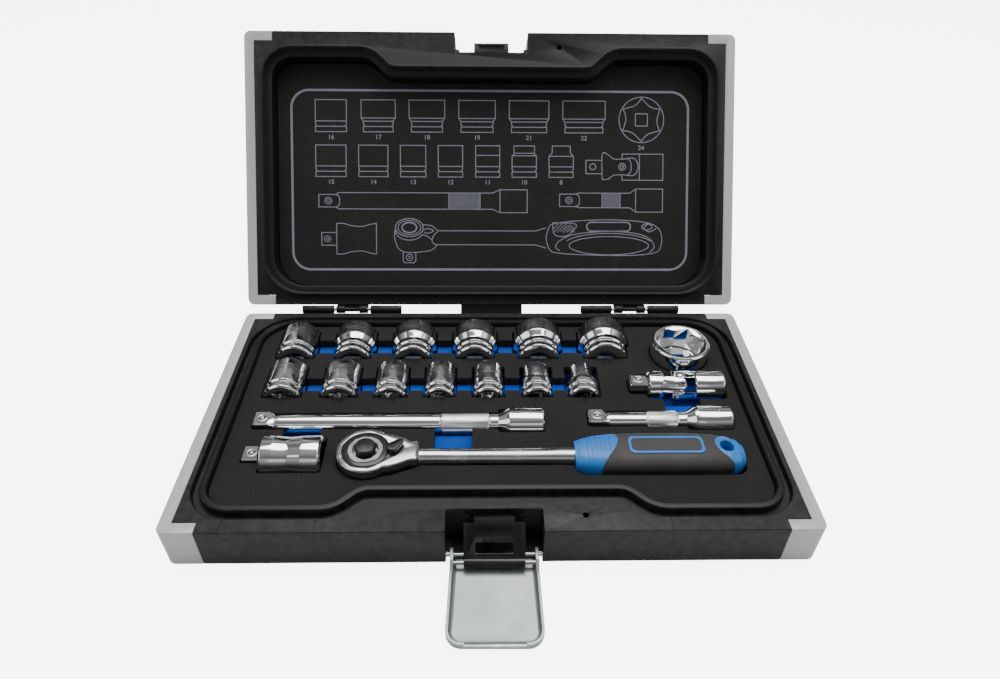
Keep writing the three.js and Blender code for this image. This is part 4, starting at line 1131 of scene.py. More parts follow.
class LID_OT_print(bpy.types.Operator):
    """The printed plan of the set on the lid pad: frame, outlines of every tool and size numbers"""

    bl_idname = "socket_set.lid_print"
    bl_label = "Lid print"

    def execute(self, context):
        look = context.scene.socket_set_sizes
        line = look.print_line
        made = [stroke(outline(oblong(-125, 124.6, 22.4, 134.2, 11), steps=10), line * 2.6, True)]
        sockets = {
            16: (-110.2, -90.8, "plain"), 17: (-81.6, -60.2, "flared"), 18: (-51.6, -29.2, "flared"),
            19: (-20.4, 2.6, "flared"), 21: (11.4, 36.4, "flared"), 22: (45.2, 72, "flared"),
        }
        small = {
            15: (-110.2, -91.2, "plain"), 14: (-83.4, -65.0, "plain"), 13: (-57.2, -41.2, "plain"),
            12: (-33.4, -18, "plain"), 11: (
                -9.8, 5.4, "stepped"
            ), 10: (13.2, 28.6, "narrow"), 8: (36.6, 52, "small"),
        }
        labels = [("24", 95, 99.2)]
        for rows, s0, s1 in ((sockets, 108.5, 128.3), (small, 80.6, 100.2)):
            for n, (x0, x1, kind) in rows.items():
                lines, body = socket_drawing(x0, x1, s0, s1, kind)
                made += [stroke(body, line, True), *[stroke(p, line) for p in lines]]
                labels.append((str(n), (x0 + x1) / 2, s0 - 3.4))
        made += [stroke(ellipse(95, 116.8, 14.2, 14.2, steps=56), line, True)]
        star = []
        for k in range(6):
            a = math.radians(90 + 60 * k)
            tip = Vector((95 + 13.4 * math.cos(a), 116.8 + 13.4 * math.sin(a)))
            b = a + math.radians(30)
            dip = Vector((95 + 9.8 * math.cos(b), 116.8 + 9.8 * math.sin(b)))
            star += [tip, tip.lerp(dip, 0.55) + (Vector((95, 116.8)) - dip) * 0.05, dip]
        made += [stroke(star, line, True), stroke(oblong(91.2, 98.8, 113, 120.6, 0), line, True)]
        made += bar_drawing(-108.6, -96, (-26.8, -7), 0.8, 5.6, 22.8, 65.5, 5.1, 7.2)
        made += bar_drawing(43.4, 55.6, (70.4, 82), 88, 91.8, 109, 66.2, 4.6, 7.3)
        made += [stroke(p, line) for p in (
            [(70.2, 83), (60, 83), (60, 91.4), (70.2, 91.4)],
            smooth_line(
                [
                    (70.4, 79.4), (70.4, 95.2), (74, 95), (77.6, 92.4), (83, 92.2), (90.6, 92.6),
                    (93.2, 87.4), (90.6, 82.2), (83, 82.4), (77.6, 82), (74, 79.6), (70.4, 79.4),
                ]
            ),
            [(83, 92.2), (83, 95.4), (109, 95.4), (109, 79), (83, 79), (83, 82.4)],
            [(94, 95.4), (94, 79)],
            smooth_line([(86.4, 92.6), (88.6, 90), (88.6, 84.8), (86.4, 82.2)]),
        )]
        made += [
            stroke(ellipse(x, 87.4, r, r, steps=24), line, True)
            for x, r in ((64.4, 1.9), (83, 2.2), (83, 1.0))
        ]
        made += [stroke(p, line) for p in (
            [(-97.6, 37.6), (-107, 37.6), (-107, 45.6), (-97.6, 45.6)],
            smooth_line([(-97.6, 51.4), (-93, 51.2), (-88.6, 50), (-82, 49.4), (-77, 50.6), (-72.6, 51.4)]),
            smooth_line([(-97.6, 32), (-93, 32.2), (-88.6, 33.4), (-82, 34), (-77, 32.8), (-72.6, 32)]),
            [(-97.6, 51.4), (-97.6, 32)],
            [(-72.6, 51.4), (-72.6, 32)],
        )]
        made += [stroke(ellipse(-103.4, 41.6, r, r, steps=24), 0.45, True) for r in (2.0, 0.8)]
        made += ratchet_drawing()
        made += [put(lettering(text, look.print_number, 0.1), shift(x, s, 0.05)) for text, x, s in labels]
        # the print is drawn in the lid's plane, X across and Y up from the hinge
        onto = Matrix(((1, 0, 0, 0), (0, -1, 0, HALF_D), (0, 0, -1, LID_FOAM_FACE), (0, 0, 0, 1)))
        fit("Lid_Print", put(gather(made), onto, LID_SWING), "print ink", "lid")
        return {"FINISHED"}


# ---------------------------------------------------------------- sockets and bars
BORE_PLAY = 0.35  # how much wider a bore is than what goes into it
HEX_DEPTH = 12.5


def bore_cutters(size, length):
    """The square bore from below and the hex from above, with their lead-in cones, along Z."""
    across = size + BORE_PLAY
    floor = length - HEX_DEPTH
    half = (DRIVE + BORE_PLAY) / 2
    corner = across / math.sqrt(3)
    hexagon = [
        [corner * math.cos(math.radians(60 * k)), corner * math.sin(math.radians(60 * k)), 0.1]
        for k in range(6)
    ]
    return [
        prism(hexagon, floor, length + 1, 0, 1),
        lathe(
            [(across / 2 - 0.1, length - 1.3), (corner + 0.35, length + 0.2), (corner + 0.35, length + 1)], 64
        ),
        prism(oblong(-half, half, -half, half, 0.4), -1, floor + 0.5, 0, 2),
        lathe([(half + 2.0, -1), (half + 2.0, 0), (half + 0.1, 1.2), (half - 0.1, 1.2)], 48),
        lathe([(across / 2 - 0.6, floor - 0.9), (across / 2 - 0.2, floor + 0.4)], 48),
        rod("x", -20, 20, (0, 4.9), 1.2, 20),
    ]


def socket_shape(size):
    """A turned socket standing on its drive end: band, groove, ring and body, with both bores."""
    r, d = HEX_R[size], DRIVE_R[size]
    line = [
        [0.5, 0], [d - 0.9, 0, 0.1], [d - 0.1, 0.9, 0.5], [d, 3.4, 0.3], [d - 0.85, 4.2, 0.3],
        [d - 0.9, 5.6, 0.3],
    ]
    line += [[d - 0.05, 6.4, 0.4], [d, 9.3, 0.5]]
    if r > d:
        line += [[d + 0.1, 9.8, 0.8], [r - 0.1, 12.8, 1.2], [r, 14.2, 0.4]]
    elif r < d:
        line += [[d - 0.05, 11.4, 0.8], [r + 0.05, 14.2, 0.8]]
    line += [[r, SOCKET_L - 0.7, 0.4], [r - 0.7, SOCKET_L, 0.2], [0.5, SOCKET_L]]
    return cut(lathe(filleted(line, 4), 64), *bore_cutters(size, SOCKET_L))


class TOOL_OT_sockets(bpy.types.Operator):
    """The fourteen chromed sockets: thirteen lying in two rows and the largest one upright"""

    bl_idname = "socket_set.sockets"
    bl_label = "Sockets"

    def execute(self, context):
        for size in ROW_1 + ROW_2:
            foot = socket_foot(size)
            body = put(socket_shape(size), ALONG_Y, Matrix.Translation(foot))
            node = f"socket_{size}mm"
            fit(f"Socket_{size}", body, "marked chrome", node, [node], origin=foot)
        low, high = span("socket_24mm")
        body = put(socket_shape(24), shift((low.x + high.x) / 2, (low.y + high.y) / 2, low.z))
        fit("Socket_24", body, "polished chrome", "socket_24mm", ["socket_24mm"])
        return {"FINISHED"}


def rounded_square(half, corner, blend, circle, steps=48):
    """A loop between a square with round corners and a circle; blend 1 is the circle."""
    loop = []
    for k in range(steps):
        a = 2 * math.pi * (k + 0.5) / steps
        c, s = math.cos(a), math.sin(a)
        n = 2 + 18 * max(0.02, 1 - corner / half)
        r = half / (abs(c) ** n + abs(s) ** n) ** (1 / n)
        r = r * (1 - blend) + circle * blend
        loop.append((r * c, r * s))
    return loop


def square_drive(length, shank, run=3.5):
    """A male square along X from 0, run out into a round shank of that radius."""
    half = DRIVE / 2
    rows = [(0, half - 1.1, 0), (0.35, half - 0.45, 0), (0.9, half, 0), (length - run, half, 0)]
    rows += [(length - run + run * k / 5, half, (k / 5) ** 1.5) for k in range(1, 6)]
    loops = []
    for x, h, blend in rows:
        loops.append([(x, y, z) for y, z in rounded_square(h, 1.0, blend, shank)])
    return stack(loops)


def ball_collar(x, y, z):
    """The staked ring round a detent ball, lying flat at height z."""
    return put(
        lathe([(1.75, -0.5), (1.75, 0.02), (2.0, 0.14), (2.5, 0.14), (2.75, 0.0), (2.75, -0.5)], 32, True),
        shift(x, y, z),
    )


def detent_ball(node, rides, name):
    low, high = span(node)
    middle = (low + high) / 2
    mesh = bpy.data.meshes.new(name)
    bm = bmesh.new()
    bmesh.ops.create_icosphere(bm, subdivisions=3, radius=1.58)
    bm.to_mesh(mesh)
    bm.free()
    obj = bpy.data.objects.new(name, mesh)
    bpy.context.scene.collection.objects.link(obj)
    fit(name, put(obj, Matrix.Translation(middle)), "pin steel", rides, [node])


def knurl(x0, x1, root, crest, around=22):
    """A diamond-knurled sleeve along X between two places."""
    pitch = 2 * math.pi * crest / around
    rows = max(8, round((x1 - x0) / pitch * 6))
    steps = around * 6
    loops = []
    for i in range(rows + 1):
        x = x0 + (x1 - x0) * i / rows
        fade = min(1.0, (x - x0) / 0.6, (x1 - x) / 0.6)
        loop = []
        for k in range(steps):
            u, v = k / 6, (x - x0) / pitch
            a = abs(((u + v) % 1) - 0.5) * 2
            b = abs(((u - v) % 1) - 0.5) * 2
            r = root + (crest - root) * min(a, b) ** 0.8 * max(0.0, fade)
            t = 2 * math.pi * k / steps
            loop.append((x, r * math.cos(t), r * math.sin(t)))
        loops.append(loop)
    return stack(loops)


class TOOL_OT_bars(bpy.types.Operator):
    """The long and the short extension bar: male square, shank, knurled band and female head"""

    bl_idname = "socket_set.bars"
    bl_label = "Extension bars"

    def execute(self, context):
        for node, label in (("long_extension", "Long"), ("short_extension", "Short")):
            x0, x1, y, z = tool_axis(node)
            length = x1 - x0
            head = length - 19
            grip = (head - 9.4 - min(25, length * 0.21), head - 9.4)
            line = [
                [0.5, 9], [4.7, 9.2, 0.1], [4.9, 13, 1], [4.9, grip[0] - 0.6, 0.1], [4.55, grip[0] - 0.1, 0.1]
            ]
            line += [
                [4.55, grip[1] + 0.1, 0.1], [4.9, grip[1] + 0.6, 0.1], [4.9, head - 4.6, 1.5],
                [7.6, head - 0.4, 0.8],
            ]
            line += [
                [8.2, head + 1.2, 0.6], [8.25, head + 4, 0.4], [8.25, length - 0.8, 0.3], [7.5, length, 0.2],
                [0.5, length],
            ]
            shank = put(lathe(filleted(line, 5), 64), ALONG_X)
            half = (DRIVE + 0.35) / 2
            bore = put(prism(oblong(-half, half, -half, half, 0.4), length - 11, length + 1, 0, 2), ALONG_X)
            mouth = put(
                lathe([(half - 0.1, length - 1.1), (half + 1.7, length + 0.1), (half + 1.7, length + 1)], 48),
                ALONG_X,
            )
            dimple = rod("z", 5, 12, (length - 7, 0), 1.1, 20)
            body = cut(join(shank, square_drive(11, 4.85)), bore, mouth, dimple)
            body = cut(body, rod("z", 2.2, 9, (4.75, 0), 1.95, 28))
            place = Vector((x0, y, z))
            fit(f"{label}_Bar", put(body, Matrix.Translation(place)), "polished chrome", node, [node])
            sleeve = put(knurl(*grip, 4.75, 5.58), Matrix.Translation(place))
            fit(f"{label}_Bar_Knurl", sleeve, "polished chrome", node, smooth=20)
            collar = ball_collar(x0 + 4.75, y, z + DRIVE / 2)
            fit(f"{label}_Bar_Ball_Ring", collar, "pin steel", node)
            detent_ball(f"{node}_ball", f"{node}_ball", f"{label}_Bar_Ball")
        return {"FINISHED"}


class TOOL_OT_joint(bpy.types.Operator):
    """The universal joint: two forked yokes, the cross between them and the detent ball"""

    bl_idname = "socket_set.universal_joint"
    bl_label = "Universal joint"

    def execute(self, context):
        middle = pivot("ujoint_cross_hinge")
        left = span("ujoint_male_yoke")[0].x - middle.x
        right = span("ujoint_female_yoke")[1].x - middle.x
        reach, r, tip, slot = 9.6, 8.0, 3.5, 4.0
        place = Matrix.Translation(middle)
        tilt = Matrix.Rotation(math.radians(45), 4, "X")

        def fork(along):
            """Two arms that run from a yoke's body to the cross, with round tips."""
            plan = [
                [0, -tip, 0.1], [along * (reach + 0.5), -tip - 1.4, 0.8],
                [along * (reach + 0.5), tip + 1.4, 0.8], [0, tip, 0.1],
            ]
            if along < 0:
                plan.reverse()
            parts = []
            for s in (-1, 1):
                a, b = sorted((s * slot, s * r))
                parts += [prism(plan, a, b, 0), rod("z", a, b, (0, 0), tip, 32)]
            arms = common(join(*parts), rod("x", -14, 14, (0, 0), r - 0.02, 64))
            return cut(arms, rod("z", -10, 10, (0, 0), 1.7, 24))

        stem = [[0.5, left + 9.3], [r - 1.3, left + 9.3, 0.3], [r, left + 10.6, 0.5], [r, -reach + 0.4, 0.4]]
        stem += [[r - 0.8, -reach + 1.2, 0.2], [0.5, -reach + 1.2]]
        male = soften(join(put(lathe(filleted(stem), 64), ALONG_X), fork(-1)), 0.35, 3, 50)
        male = put(male, tilt)
        male = join(male, put(square_drive(11, 5.6, 2.4), shift(left, 0, 0)))
        male = cut(male, rod("z", 2.2, 9, (left + 4.75, 0), 1.95, 28))
        fit("Joint_Male_Yoke", put(male, place), "polished chrome", "ujoint_male_yoke", ["ujoint_male_yoke"])
        cup = [[0.5, reach - 1.2], [r - 0.8, reach - 1.2, 0.2], [r, reach - 0.4, 0.4], [r, right - 0.9, 0.4]]
        cup += [[r - 0.9, right, 0.3], [0.5, right]]
        female = soften(join(put(lathe(filleted(cup), 64), ALONG_X), fork(1)), 0.35, 3, 50)
        put(female, Matrix.Rotation(math.radians(90), 4, "X"), tilt)
        half = (DRIVE + 0.35) / 2
        female = cut(
            female,
            put(prism(oblong(-half, half, -half, half, 0.4), right - 11, right + 1, 0, 2), ALONG_X),
            put(
                lathe([(half - 0.1, right - 1.1), (half + 1.6, right + 0.1), (half + 1.6, right + 1)], 48),
                ALONG_X,
            ),
            rod("z", 5, 12, (right - 6.6, 0), 1.1, 20),
        )
        fit(
            "Joint_Female_Yoke", put(female, place), "polished chrome", "ujoint_female_yoke",
            ["ujoint_female_yoke"],
        )
        cube = soften(brick(-3.6, 3.6, -3.6, 3.6, -3.6, 3.6), 0.6, 3)
        pins = [
            put(lathe(filleted([[0.4, -7.2], [1.45, -7.2, 0.3], [1.45, 7.2, 0.3], [0.4, 7.2]]), 24), m)
            for m in (Matrix(), ALONG_Y)
        ]
        fit(
            "Joint_Cross", put(join(cube, *pins), tilt, place), "satin chrome", "ujoint_cross",
            ["ujoint_cross"],
        )
        collar = ball_collar(middle.x + left + 4.75, middle.y, middle.z + DRIVE / 2)
        fit("Joint_Ball_Ring", collar, "pin steel", "ujoint_male_yoke")
        detent_ball("ujoint_ball", "ujoint_ball", "Joint_Ball")
        return {"FINISHED"}


class TOOL_OT_adaptor(bpy.types.Operator):
    """The drive adaptor: male square on a heavy waisted barrel with the larger female square"""

    bl_idname = "socket_set.adaptor"
    bl_label = "Adaptor"

    def execute(self, context):
        x0, x1, y, z = tool_axis("adaptor")
        length = x1 - x0
        r = 11.45
        line = [[0.5, 9.3], [r - 1.4, 9.3, 0.3], [r, 10.6, 0.6], [r, 16, 6], [r - 0.75, 23, 12], [r, 30, 6]]
        line += [[r, length - 1, 0.5], [r - 1, length, 0.3], [0.5, length]]
        barrel = put(lathe(filleted(line, 6), 96), ALONG_X)
        half = (12.7 + 0.35) / 2
        body = cut(
            join(barrel, square_drive(10.5, 6.2, 1.2)),
            put(prism(oblong(-half, half, -half, half, 0.5), length - 17, length + 1, 0, 2), ALONG_X),
            put(
                lathe([(half - 0.1, length - 1.3), (half + 2.2, length + 0.1), (half + 2.2, length + 1)], 48),
                ALONG_X,
            ),
            rod("y", -13, 0, (length - 10, 0), 2.8, 32),
            put(lathe([(2.7, -r + 0.5), (3.6, -r - 0.6)], 32), ALONG_Y, shift(length - 10, 0, 0)),
            rod("z", 2.2, 9, (4.75, 0), 1.95, 28),
        )
        fit("Adaptor", put(body, shift(x0, y, z)), "polished chrome", "adaptor", ["adaptor"])
        fit("Adaptor_Ball_Ring", ball_collar(x0 + 4.75, y, z + DRIVE / 2), "pin steel", "adaptor")
        detent_ball("adaptor_ball", "adaptor_ball", "Adaptor_Ball")
        return {"FINISHED"}


# ---------------------------------------------------------------- ratchet
def curve_loop(points, steps=8):
    """A closed smooth loop through points."""
    n = len(points)
    out = []
    for i in range(n):
        p0, p1, p2, p3 = (Vector(points[(i + k) % n]) for k in (-1, 0, 1, 2))
        for k in range(steps):
            out.append(between(p0, p1, p2, p3, k / steps))
    return out


def inset(points, by):
    """A closed loop moved inwards by a distance; it runs anticlockwise."""
    n = len(points)
    out = []
    for i, p in enumerate(points):
        a, b = Vector(points[i - 1]), Vector(points[(i + 1) % n])
        d = (b - a).normalized()
        out.append((p[0] - d.y * by, p[1] + d.x * by))
    return out


def slab(points, z0, z1, ease=0.4, rounds=3):
    """A closed loop raised from z0 to z1 with rounded edges."""
    rows = []
    for k in range(rounds + 1):
        a = math.pi / 2 * k / rounds
        rows.append((ease * (1 - math.sin(a)), z0 + ease * (1 - math.cos(a))))
    rows += [(g, z0 + z1 - z) for g, z in reversed(rows)]
    return stack([[(x, y, z) for x, y in inset(points, g)] for g, z in rows])


class RATCHET_OT_head(bpy.types.Operator):
    """The ratchet's pear-shaped head with its shank, cover rings and pawl"""

    bl_idname = "socket_set.ratchet_head"
    bl_label = "Ratchet head"

    def execute(self, context):
        axis = pivot("drive_spin")
        low, high = axis.z - 6, axis.z + 6
        place = shift(axis.x, axis.y, 0)
        rim = [
            (14.4 * math.cos(math.radians(a)), 14.4 * math.sin(math.radians(a))) for a in range(50, 311, 10)
        ]
        lower = [(12.4, -10.6), (17.4, -8.6), (21.4, -6.6), (25.6, -5.1)]
        plan = [*rim, *lower, *[(x, -y) for x, y in reversed(lower)]]
        plan = curve_loop(plan, 4)
        head = slab(plan, low, high, 1.3, 4)
        shank_end = span("handle_front_cap")[0].x - axis.x
        line = [
            [0.5, 19], [4.4, 19, 0.2], [4.7, 24, 4], [4.45, 50, 60], [4.7, shank_end - 14, 8],
            [4.95, shank_end - 8, 3],
        ]
        line += [[5.15, shank_end - 5, 0.4], [5.15, shank_end + 22, 0.2], [0.5, shank_end + 22]]
        shank = put(lathe(filleted(line, 6), 64), ALONG_X, shift(0, 0, axis.z))
        ring_r = 11.8
        body = cut(
            join(head, shank),
            rod("z", low + 2, high + 1, (0, 0), 10.0, 64),
            rod("z", high - 1.6, high + 1, (0, 0), ring_r, 64),
            rod("z", low - 1, low + 3, (0, 0), 7.4, 48),
            rod("z", low + 2, high + 1, (13.5, 0), 2.2, 28),
            brick(8.2, 15.5, -3.4, 3.4, low + 2, high - 2.4),
        )
        fit(
            "Ratchet_Body", put(soften(body, 0.25, 2, 55), place), "satin chrome", "ratchet", ["ratchet_body"]
        )
        line = [
            (8.75, high - 1.2), (8.75, high + 0.2), (9.0, high + 0.45), (10.9, high + 0.45),
            (11.45, high + 0.1), (11.45, high - 1.2),
        ]
        fit(
            "Ratchet_Black_Ring", put(lathe(line, 80, True), place), "gloss black", "ratchet",
            ["ratchet_cover_ring"],
        )
        line = [
            (6.3, high - 1.2), (6.3, high + 0.2), (6.5, high + 0.36), (8.4, high + 0.36), (8.6, high + 0.2),
            (8.6, high - 1.2),
        ]
        fit("Ratchet_Steel_Ring", put(lathe(line, 80, True), place), "satin chrome", "ratchet")
        pawl = soften(brick(9.5, 14.5, -2.6, 2.6, low + 2.6, low + 5.4), 0.3)
        fit("Ratchet_Pawl", put(pawl, place), "pin steel", "ratchet", ["ratchet_pawl"])
        return {"FINISHED"}


class RATCHET_OT_drive(bpy.types.Operator):
    """The toothed drive with its square and ball, the release button and the reversing lever"""

    bl_idname = "socket_set.ratchet_drive"
    bl_label = "Ratchet drive"

    def execute(self, context):
        axis = pivot("drive_spin")
        low, high = axis.z - 6, axis.z + 6
        place = shift(axis.x, axis.y, 0)
        teeth = []
        for k in range(72):
            a = 2 * math.pi * k / 72
            r = (9.2, 8.45, 8.45)[k % 3]
            teeth.append((r * math.cos(a), r * math.sin(a)))
        gear = stack([[(x, y, z) for x, y in teeth] for z in (low + 2.4, high - 1.8)])
        stem = lathe(
            filleted(
                [
                    [0.5, low - 1], [6.6, low - 1, 0.2], [7.0, low - 0.6, 0.2], [7.0, low + 2.6],
                    [0.5, low + 2.6],
                ]
            ),
            64,
        )
        square = put(
            square_drive(11.6, 6.4, 1.2), Matrix.Rotation(-math.pi / 2, 4, "Y"), shift(0, 0, low - 10)
        )
        body = cut(
            join(gear, stem, square),
            rod("z", high - 5.4, high + 1, (0, 0), 4.6, 40),
            rod("x", -7, -1.6, (0, low - 5.4), 1.95, 28),
        )
        fit("Drive_Anvil", put(body, place), "satin chrome", "drive_anvil", ["drive_anvil"])
        detent_ball("drive_ball", "drive_ball", "Drive_Ball")
        line = [
            [0.4, high - 3], [4.0, high - 3, 0.1], [4.0, high + 0.2, 0.1], [5.18, high + 0.25, 0.15],
            [5.18, high + 2.7, 0.5],
        ]
        line += [[4.5, high + 3.2, 0.5], [0.4, high + 3.4]]
        fit(
            "Release_Button", put(lathe(filleted(line, 5), 64), place), "gloss black", "quick_release_button",
            ["quick_release_button"],
        )
        drop = [
            (2.9 * math.cos(math.radians(a)), 2.9 * math.sin(math.radians(a))) for a in range(160, 381, 20)
        ]
        drop += [(2.2, 3.0), (1.5, 5.4), (0.7, 6.2), (-0.7, 6.2), (-1.5, 5.4), (-2.2, 3.0)]
        vane = slab(curve_loop(drop, 3), high + 0.95, high + 2.9, 0.45)
        scoop = [
            (1.7 * math.cos(math.radians(a)), 1.7 * math.sin(math.radians(a))) for a in range(170, 371, 20)
        ]
        scoop += [(1.0, 3.6), (0.4, 4.9), (-0.4, 4.9), (-1.0, 3.6)]
        vane = cut(vane, slab(curve_loop(scoop, 3), high + 2.2, high + 4, 0.1, 1))
        stud = rod("z", high - 5, high + 1.3, (0, 0), 1.9, 28)
        lever = put(join(vane, stud), Matrix.Rotation(math.radians(-45), 4, "Z"))
        place = Matrix.Translation(Vector((*pivot("reversing_lever_swing").xy, 0)))
        fit("Reversing_Lever", put(lever, place), "gloss black", "reversing_lever", ["reversing_lever"])
        return {"FINISHED"}


def handle_width(t):
    """Half the handle's width, in millimetres, at a share t of its length."""
    keys = [
        (0, 8.3), (0.04, 9.6), (0.12, 11.0), (0.22, 11.7), (0.4, 11.95), (0.66, 11.95), (0.8, 11.5),
        (0.9, 10.6), (0.96, 9.0), (1, 6.2),
    ]
    for (a, wa), (b, wb) in zip(keys, keys[1:]):
        if t <= b:
            u = (t - a) / (b - a)
            u = u * u * (3 - 2 * u) * 0.5 + u * 0.5
            return wa + (wb - wa) * u
    return keys[-1][1]


def handle_blank(grow=0.0, steps=72, rows=90):
    """The handle's whole body along X, with its scooped near side."""
    x0, x1 = span("handle_front_cap")[0].x, span("handle_end_cap")[1].x
    axis = pivot("drive_spin")
    loops = []
    for i in range(rows + 1):
        t = i / rows
        t = 0.5 - 0.5 * math.cos(math.pi * t)
        w = handle_width(t) + grow
        h = w * 0.745
        square = 2.5 + 0.5 * math.sin(math.pi * t)
        x = x0 + (x1 - x0) * t
        scoop = max(0.0, 1 - ((t - 0.53) / 0.4) ** 2)
        loop = []
        for k in range(steps):
            a = 2 * math.pi * k / steps
            c, s = math.cos(a), math.sin(a)
            r = 1 / (abs(c) ** square + abs(s) ** square) ** (1 / square)
            y, z = w * r * c, h * r * s
            side = max(0.0, 1 - ((math.degrees(a) - 200) / 34) ** 2)
            edge = min(1.0, 2.4 * side) * min(1.0, 2.4 * scoop)
            y += 1.0 * edge
            loop.append((x, axis.y + y, axis.z + z))
        loops.append(loop)
    return stack(loops)


class RATCHET_OT_handle(bpy.types.Operator):
    """The moulded handle: ribbed blue front, dark grip with a blue-framed panel, blue end with its hole"""

    bl_idname = "socket_set.ratchet_handle"
    bl_label = "Ratchet handle"

    def execute(self, context):
        x0, x1 = span("handle_front_cap")[0].x, span("handle_end_cap")[1].x
        axis = pivot("drive_spin")
        y, z = axis.y, axis.z
        high = z + 9
        fan = [
            (x0 - 3, y - 16), (x0 + 9.5, y - 16), (x0 + 11.4, y - 12.4), (x0 + 15.5, y - 7),
            (x0 + 19.6, y - 1), (x0 + 21.2, y + 4),
        ]
        fan += [(x0 + 20.4, y + 8.2), (x0 + 17.6, y + 11), (x0 + 14, y + 16), (x0 - 3, y + 16)]
        heel = [
            (x1 - 13.9, y + 4.4), (x1 - 14.6, y + 0.6), (x1 - 13.0, y - 3.4), (x1 - 9.6, y - 6.6),
            (x1 - 6.2, y - 10.4), (x1 - 4.6, y - 16),
        ]
        heel += [
            (x1 + 3, y - 16), (x1 + 3, y + 3.4), (x1 - 2.0, y + 6.0), (x1 - 6.0, y + 7.4),
            (x1 - 10.6, y + 7.0),
        ]

        def bore():
            return rod("x", x0 - 1, x0 + 22.6, (y, z), 5.3, 48)

        def hole():
            return rod("z", z - 12, z + 12, (x1 - 9, y), 3.6, 48)

        def zone(points, grow=0.0):
            loop = inset(curve_loop(points, 5), -grow)
            return stack([[(px, py, h) for px, py in loop] for h in (z - 14, z + 14)])

        def frame_band(grow, z0, z1):
            return prism(
                oblong(x0 + 26 - grow, x1 - 20.6 + grow, y - 5.6 - grow, y + 5.6 + grow, 2.6), z0, z1, 0, 8
            )

        front = cut(common(handle_blank(), zone(fan)), bore())
        ribs = [
            prism(
                oblong(x0 + 3 + 2.2 * k, x0 + 3.7 + 2.2 * k, y - 7.5 + 0.4 * k, y + 7.5 - 0.3 * k, 0.3),
                z + 4, z + 14, 0,
            )
            for k in range(7)
        ]
        front = cut(front, common(join(*ribs), cut(handle_blank(1.0), handle_blank(-0.35))))
        fit(
            "Handle_Front", soften(front, 0.25, 2, 50), "blue grip", "ratchet", ["handle_front_cap"],
            smooth=40,
        )
        grip = cut(
            handle_blank(), zone(fan, 0.12), zone(heel, 0.12), bore(), hole(),
            frame_band(0.1, high - 1.6, high + 2),
        )
        fit("Handle_Grip", soften(grip, 0.2, 2, 50), "grey grip", "ratchet", ["handle_grip"], smooth=40)
        heel_piece = cut(common(handle_blank(), zone(heel)), hole())
        fit(
            "Handle_End", soften(heel_piece, 0.3, 3, 50), "blue grip", "ratchet", ["handle_end_cap"],
            smooth=40,
        )
        rim = cut(frame_band(0, high - 1.5, high + 0.1), frame_band(-1.35, high - 2, high + 1))
        fit("Handle_Panel_Frame", soften(rim, 0.2, 2, 50), "blue grip", "ratchet", ["handle_badge"])
        panel = prism(oblong(x0 + 27.4, x1 - 22, y - 4.2, y + 4.2, 1.4), high - 1.5, high - 0.15, 0.15, 6)
        fit("Handle_Panel", panel, "grey grip", "ratchet")
        return {"FINISHED"}


